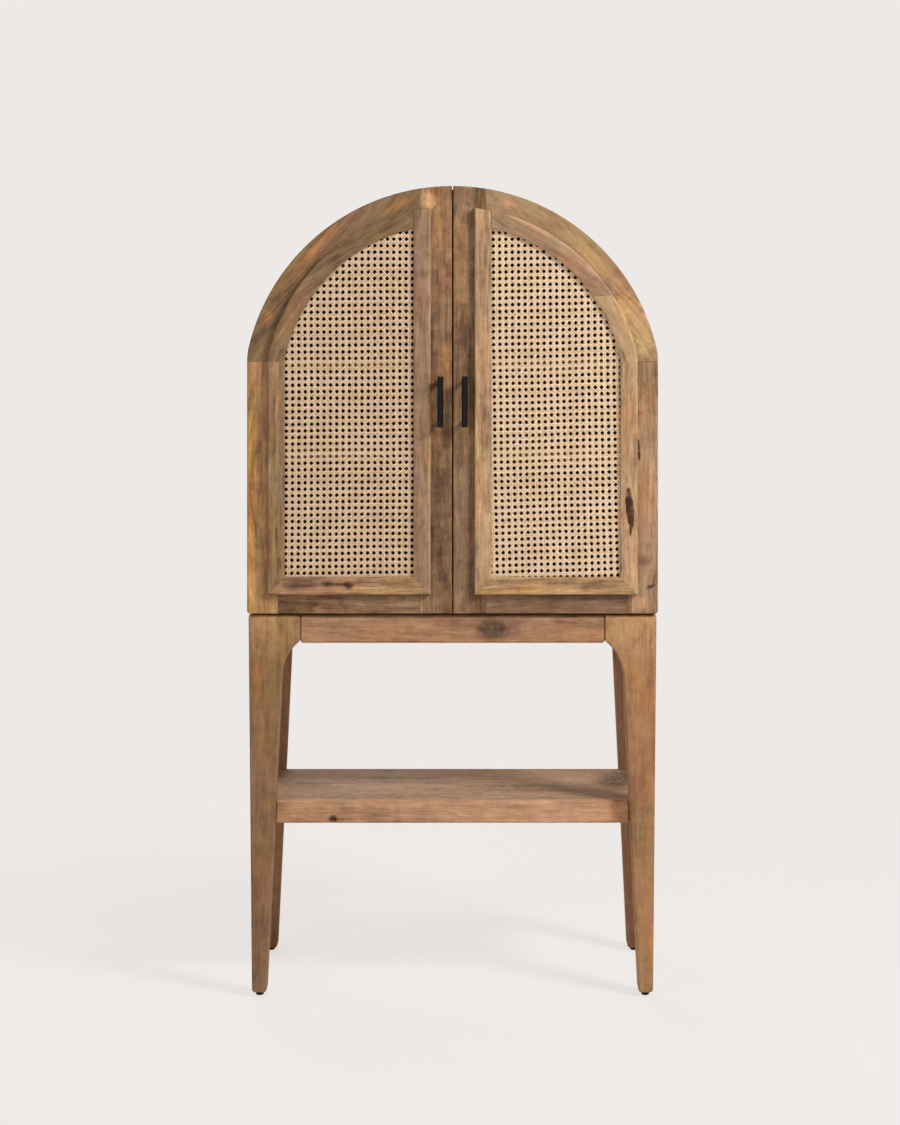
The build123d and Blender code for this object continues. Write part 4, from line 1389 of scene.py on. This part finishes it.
def left_boards() -> dict[str, Wood]:
    """Return the left door's boards by the name of the solid that each dresses."""
    seams = joints(Side.LEFT)
    return {
        "arch_rail": Wood(
            "left_arch_rail_wood", (126, 99, 71), 47.0, seed=3.1, contrast=0.85, curl=0.3, grey=0.4,
            seams=seams["arch_rail"],
            marks=(
                Mark(-364, 1340, 8, 26, Tone.ORANGE, 0.4, -30, ragged=0.7),
                Mark(-182, 1494, 110, 9, Tone.DUSK, 0.55, 38),
                Mark(-265, 1405, 90, 9, Tone.DARK, 0.5, 50),
                Mark(-261, 1484, 60, 10, Tone.ORANGE, 0.5, 44),
                Mark(-108, 1563, 40, 8, Tone.ORANGE, 0.5, 25),
                Mark(-150, 1550, 75, 20, Tone.DUSK, 0.35, 28),
                Mark(-147, 1543, 30, 9, Tone.OLIVE, 0.4, 28),
                Mark(-198, 1541, 10, 8, Tone.HEART, 0.5),
            ),
        ),
        "centre_stile": Wood(
            "left_centre_stile_wood", (132, 101, 73), seed=4.1, curl=0.55, seams=seams["centre_stile"],
            marks=(
                Mark(-25, 900, 60, 190, Tone.DARK, 0.6),
                Mark(-25, 1480, 60, 110, Tone.TAN, 0.3),
                Mark(-50, 1572, 20, 26, Tone.STRAW, 1.0, softness=0.7),
                Mark(-50, 1583, 3, 5, Tone.HEART, 0.6),
                Mark(-53, 1566, 3, 5, Tone.HEART, 0.6),
                Mark(-25, 1578, 9, 16, Tone.DUSK, 0.5),
                Mark(-31, 1423, 7, 18, Tone.DARK, 0.65, ragged=0.6),
                Mark(-39, 1342, 16, 38, Tone.GREY, 0.5),
                Mark(-13, 1253, 14, 50, Tone.ORANGE, 0.4),
                Mark(-25, 1011, 16, 60, Tone.DARK, 0.45),
            ),
        ),
        "outer_stile": Wood(
            "left_outer_stile_wood", (160, 122, 83), seed=5.1, rosy=0.6, seams=seams["outer_stile"],
            marks=(
                Mark(-396, 950, 12, 300, Tone.GOLD, 0.62, softness=0.8),
                # painted shadow beside the outer moulding, as a dark olive band along the stile
                Mark(-384, 900, 8, 110, Tone.OLIVE, 0.8),
                Mark(-404, 981, 4, 60, Tone.HEART, 0.5),
                Mark(-372, 1080, 7, 200, Tone.ROSE, 0.3),
            ),
        ),
        "bottom_rail": Wood(
            "left_bottom_rail_wood", (134, 105, 79), 0.0, seed=6.1, curl=0.35, seams=seams["bottom_rail"],
            marks=(Mark(-320, 776, 24, 12, Tone.DARK, 0.45), Mark(-222, 784, 10, 10, Tone.DARK, 0.55)),
        ),
        "centre_moulding": Wood(
            "left_centre_moulding_wood", (148, 118, 93), seed=7.1, contrast=0.8, curl=0.4,
            marks=(
                Mark(-64, 977, 5, 20, Tone.ORANGE, 0.6, -30),
                Mark(-60, 883, 10, 25, Tone.TAN, 0.5),
                Mark(-62, 930, 4, 30, Tone.DARK, 0.4, -25),
                Mark(-54, 1040, 5, 40, Tone.DUSK, 0.4, 8),
            ),
        ),
        "outer_moulding": Wood(
            "left_outer_moulding_wood", (130, 102, 74), seed=8.1, contrast=1.3,
            marks=(Mark(-345, 1130, 5, 120, Tone.ROSE, 0.25), Mark(-352, 900, 6, 90, Tone.OLIVE, 0.35)),
        ),
        "bottom_moulding": Wood(
            "left_bottom_moulding_wood", (158, 124, 95), 0.0, seed=9.1,
            marks=(
                Mark(-302, 815, 38, 11, Tone.DARK, 0.7, softness=0.7, ragged=0.25),
                Mark(-224, 815, 30, 4, Tone.DARK, 0.9, softness=0.8, ragged=0.25),
                Mark(-247, 817, 13, 8, Tone.DARK, 0.9, softness=0.8, ragged=0.25),
                Mark(-204, 814, 12, 9, Tone.KNOT, 0.9, softness=0.7, ragged=0.25),
                Mark(-150, 806, 80, 9, Tone.STRAW, 0.6),
                Mark(-345, 806, 26, 10, Tone.STRAW, 0.6),
            ),
        ),
        "lower_arch_moulding": Wood(
            "left_lower_arch_moulding_wood", (126, 100, 72), 62.0, seed=10.1,
            marks=(Mark(-309, 1354, 89, 6, Tone.TAN, 0.4, 55), Mark(-334, 1273, 14, 14, Tone.DARK, 0.5)),
        ),
        "upper_arch_moulding": Wood(
            "left_upper_arch_moulding_wood", (121, 97, 71), 32.0, seed=11.1,
            marks=(Mark(-198, 1499, 30, 7, Tone.GOLD, 0.3, 35),),
        ),
    }


def right_boards() -> dict[str, Wood]:
    """Return the right door's boards by the name of the solid that each dresses."""
    seams = joints(Side.RIGHT)
    return {
        "arch_rail": Wood(
            "right_arch_rail_wood", (148, 119, 89), -47.0, seed=23.1, contrast=0.7, golden=0.3, grey=0.3,
            seams=seams["arch_rail"],
            marks=(
                Mark(115, 1564, 14, 8, Tone.ROSE, 0.6, -20),
                Mark(188, 1537, 20, 10, Tone.STRAW, 0.5, -35),
                Mark(360, 1330, 85, 34, Tone.STRAW, 1.0, -62, softness=0.7),
                Mark(270, 1465, 80, 14, Tone.STRAW, 0.4, -46),
                Mark(165, 1552, 90, 18, Tone.GREY, 0.5, -28),
            ),
        ),
        "centre_stile": Wood(
            "right_centre_stile_wood", (128, 100, 73), seed=24.1, curl=0.45, seams=seams["centre_stile"],
            marks=(
                Mark(18, 1513, 12, 20, Tone.ORANGE, 0.35),
                Mark(18, 883, 14, 20, Tone.GREY, 0.5),
                Mark(22, 900, 40, 170, Tone.DUSK, 0.5),
                Mark(24, 1450, 40, 150, Tone.TAN, 0.5),
            ),
        ),
        "outer_stile": Wood(
            "right_outer_stile_wood", (148, 117, 90), seed=25.1, seams=seams["outer_stile"],
            marks=(
                Mark(366, 1082, 4, 26, Tone.KNOT, 1.0, 6, softness=0.5),
                Mark(369, 1153, 12, 3, Tone.HEART, 0.7),
                Mark(379, 861, 14, 10, Tone.DUSK, 0.8),
                Mark(392, 811, 14, 5, Tone.KNOT, 0.9, 20),
                Mark(373, 776, 24, 16, Tone.ROSE, 0.5),
                Mark(393, 1021, 8, 60, Tone.STRAW, 0.4),
                Mark(379, 1228, 14, 30, Tone.GREY, 0.35),
            ),
        ),
        "bottom_rail": Wood(
            "right_bottom_rail_wood", (117, 91, 72), 0.0, seed=26.1, seams=seams["bottom_rail"],
            marks=(Mark(202, 768, 40, 3, Tone.DUSK, 0.5, 8),),
        ),
        "centre_moulding": Wood(
            "right_centre_moulding_wood", (157, 129, 97), seed=27.1, curl=0.35,
            marks=(Mark(52, 1100, 7, 200, Tone.STRAW, 0.35), Mark(70, 1330, 5, 120, Tone.TAN, 0.4)),
        ),
        "outer_moulding": Wood(
            "right_outer_moulding_wood", (176, 143, 108), seed=28.1,
            marks=(
                Mark(348, 962, 12, 52, Tone.ORANGE, 0.5, 5),
                Mark(349, 965, 8.5, 44, Tone.KNOT, 1.0, 5, softness=0.25, ragged=0.3),
                Mark(350, 966, 5, 34, Tone.HEART, 0.2, 5, softness=0.5),
                Mark(350, 922, 3, 12, Tone.KNOT, 1.0, softness=0.5),
                Mark(334, 952, 2, 6, Tone.HEART, 0.8),
                Mark(330, 851, 5, 14, Tone.KNOT, 0.7),
            ),
        ),
        "bottom_moulding": Wood(
            "right_bottom_moulding_wood", (178, 145, 106), 0.0, seed=29.1,
            marks=(
                Mark(192, 821, 110, 5, Tone.DUSK, 0.4),
                Mark(170, 804, 130, 6, Tone.GOLD, 0.5),
                Mark(300, 810, 50, 8, Tone.STRAW, 0.5),
            ),
        ),
        "lower_arch_moulding": Wood(
            "right_lower_arch_moulding_wood", (173, 146, 111), -62.0, seed=30.1, contrast=0.8, golden=0.3,
        ),
        "upper_arch_moulding": Wood(
            "right_upper_arch_moulding_wood", (168, 136, 106), -32.0, seed=31.1, contrast=0.6,
            rosy=0.7, grey=0.2,
        ),
    }


def stand_boards() -> dict[str, Wood]:
    """Return the stand's boards by the name of the solid that each dresses."""
    return {
        "front_left_leg": Wood(
            "front_left_leg_wood", (134, 103, 75), seed=51.0, contrast=0.6, grey=0.15, olive=0.3, pale=0.2,
            marks=(
                Mark(-360, 735, 90, 70, Tone.STRAW, 0.35),
                Mark(-368, 506, 10, 22, Tone.OLIVE, 0.45),
                Mark(-385, 627, 10, 60, Tone.ORANGE, 0.4),
                Mark(-324, 745, 12, 12, Tone.OLIVE, 0.5),
            ),
        ),
        "front_right_leg": Wood(
            "front_right_leg_wood", (152, 114, 79), seed=52.5, contrast=0.5, grey=0.1, olive=0.2, pale=0.2,
            marks=(Mark(385, 410, 8, 30, Tone.ORANGE, 0.4), Mark(350, 735, 90, 80, Tone.STRAW, 0.4)),
        ),
        "rear_left_leg": Wood("rear_left_leg_wood", (134, 96, 68), seed=53.7, contrast=0.6, grey=0.3),
        "rear_right_leg": Wood("rear_right_leg_wood", (112, 80, 57), seed=54.9, contrast=0.6, grey=0.3),
        "front_apron": Wood(
            "front_apron_wood", (158, 119, 89), 0.0, seed=56.0, contrast=0.6, grey=0.3, golden=0.3, rosy=0.3,
            marks=(
                Mark(-130, 725, 180, 30, Tone.TAN, 0.3),
                Mark(76, 726, 34, 26, Tone.DARK, 1.0, softness=0.6, ragged=0.12),
                Mark(114, 728, 32, 24, Tone.DUSK, 0.8, softness=0.6, ragged=0.12),
                Mark(-20, 742, 40, 4, Tone.HEART, 0.5),
                Mark(237, 751, 24, 3.5, Tone.DARK, 0.7),
                Mark(-232, 748, 28, 3, Tone.HEART, 0.5),
            ),
        ),
        "rear_apron": Wood("rear_apron_wood", (160, 121, 90), 0.0, seed=57.0),
        "side_aprons": Wood("side_apron_wood", (160, 121, 90), grain=Grain.DEPTH, seed=58.0),
        "lower_shelf": Wood(
            "lower_shelf_wood", (178, 138, 109), 0.0, seed=59.0, contrast=0.6, grey=0.25,
            golden=0.3, rosy=0.3, sheen=0.02,
            marks=(
                # painted shade: the whole top darker and greyer than the front, as the case above shades it
                Mark(0, 30, 900, 172, Tone.GREY, 0.62, softness=0.05, ragged=0.0, top=True),
                Mark(-237, 346, 11, 8, Tone.KNOT, 0.9, softness=0.6, ragged=0.2),
                Mark(-237, 345, 5, 3.5, Tone.STRAW, 1.0, ragged=0.2),
                # painted shadow and reflection of the right legs on the top's right end
                Mark(338, 60, 60, 130, Tone.DARK, 0.9, -12, ragged=0.1, top=True),
                Mark(76, -2, 120, 26, Tone.OLIVE, 0.5, top=True),
                Mark(-150, 80, 160, 20, Tone.OLIVE, 0.5, top=True),
                # painted shadow and reflection of the left legs on the top's left end
                Mark(-290, 20, 60, 30, Tone.DARK, 0.35, top=True),
            ),
        ),
    }


# --------------------------------------------------------------------------- the object


@dataclass
class Cabinet:
    """The whole object: dresses the frame's solids and adds the new pieces.

    Attributes:
        arch: Outline of the doors.
        finishes: Materials made so far, by name.
    """

    frame: dict[str, Any]
    arch: Arch = field(default_factory=Arch)
    finishes: dict[str, bpy.types.Material] = field(default_factory=dict)

    def finish(self, kind: Finish) -> bpy.types.Material:
        """Return the material of a finish, made once."""
        if kind.name not in self.finishes:
            self.finishes[kind.name] = kind.material()
        return self.finishes[kind.name]

    def dress(self, node: str, kind: Finish) -> None:
        """Give a solid of the frame its finish."""
        for slot in self.frame["nodes"][node].material_slots:
            slot.material = self.finish(kind)
        LOG.info("dressed %s", node)

    def add(
        self, piece: bpy.types.Object, body: str, slot: str, kind: Finish, node: str
    ) -> None:
        """Put a new piece on its body, with its finish.

        Args:
            piece: The piece.
            body: Body that it rides on.
            slot: Material slot of the record; not used.
            kind: Its finish.
            node: Solid that it stands for.
        """
        piece.data.materials.append(self.finish(kind))
        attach(piece, body)
        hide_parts(node)
        LOG.info("made %s with %d faces", piece.name, len(piece.data.polygons))

    def door(self, side: Side) -> None:
        """Dress a door and add its mouldings, cane and handle."""
        body = side.named("door")
        woods = left_boards() if side is Side.LEFT else right_boards()
        for part in ("arch_rail", "centre_stile", "outer_stile", "bottom_rail"):
            self.dress(side.named(part), woods[part])
        for part, piece in Moulding(side, self.arch).build().items():
            self.add(piece, body, "mango_moulding", woods[part], side.named(part))
        for piece in webbing(side, self.arch).build():
            self.add(piece, body, "cane", CANES[side], side.named("cane_panel"))
        handle = Handle(side)
        self.add(handle.bar(), body, "black_metal", ENAMEL, side.named("handle_bar"))
        self.add(handle.posts(), body, "black_metal", ENAMEL, side.named("handle_posts"))
        for part in ("catch_strike", "handle_screws", "hinge_leaves", "hinge_screws"):
            self.dress(side.named(part), ZINC)
        self.dress(side.named("cane_beads"), Wood("bead_wood", (170, 138, 100), seed=41.0))

    def stand(self) -> None:
        """Dress the stand."""
        for node, wood in stand_boards().items():
            self.dress(node, wood)
        self.dress("stand_corner_blocks", Wood("block_wood", (170, 138, 104), seed=60.0))
        self.dress("foot_glides", PLASTIC)

    def case(self) -> None:
        """Dress the case, its shelves, its back and its fittings."""
        self.dress("left_side_panel", Wood("left_side_wood", (150, 115, 80), seed=61.0))
        self.dress("right_side_panel", Wood("right_side_wood", (162, 125, 90), seed=62.0))
        self.dress("arched_top", Wood("arched_top_wood", (154, 119, 84), grain=Grain.DEPTH, seed=63.0))
        for node in ("bottom_panel", "upper_shelf", "middle_shelf"):
            self.dress(node, Wood(f"{node}_wood", (160, 124, 90), 0.0, seed=64.0 + len(node)))
        self.dress("back_panel", Wood("back_panel_wood", (112, 86, 62), seed=65.0, contrast=0.8))
        self.dress("magnetic_catches", PLASTIC)
        screws = ("back_panel_screws", "case_fixing_screws", "hinge_case_screws")
        for node in (*screws, "hinge_case_leaves", "hinge_pins", "shelf_pins"):
            self.dress(node, ZINC)


def cleared() -> None:
    """Remove whatever the start-up scene holds."""
    for item in list(bpy.data.objects):
        bpy.data.objects.remove(item, do_unlink=True)


def corners(bounds: Any) -> list[list[float]]:
    """Return a box's two corners as plain lists."""
    return [[float(number) for number in corner] for corner in bounds]


def main() -> None:
    """Load the frame and build every class in order."""
    logging.basicConfig(level=logging.INFO, format="%(name)s: %(message)s")
    cleared()
    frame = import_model()
    Studio().build()
    cabinet = Cabinet(frame)
    cabinet.stand()
    cabinet.case()
    for side in Side:
        cabinet.door(side)
    bpy.context.scene.view_settings.view_transform = "Standard"


if __name__ == "__main__":
    main()
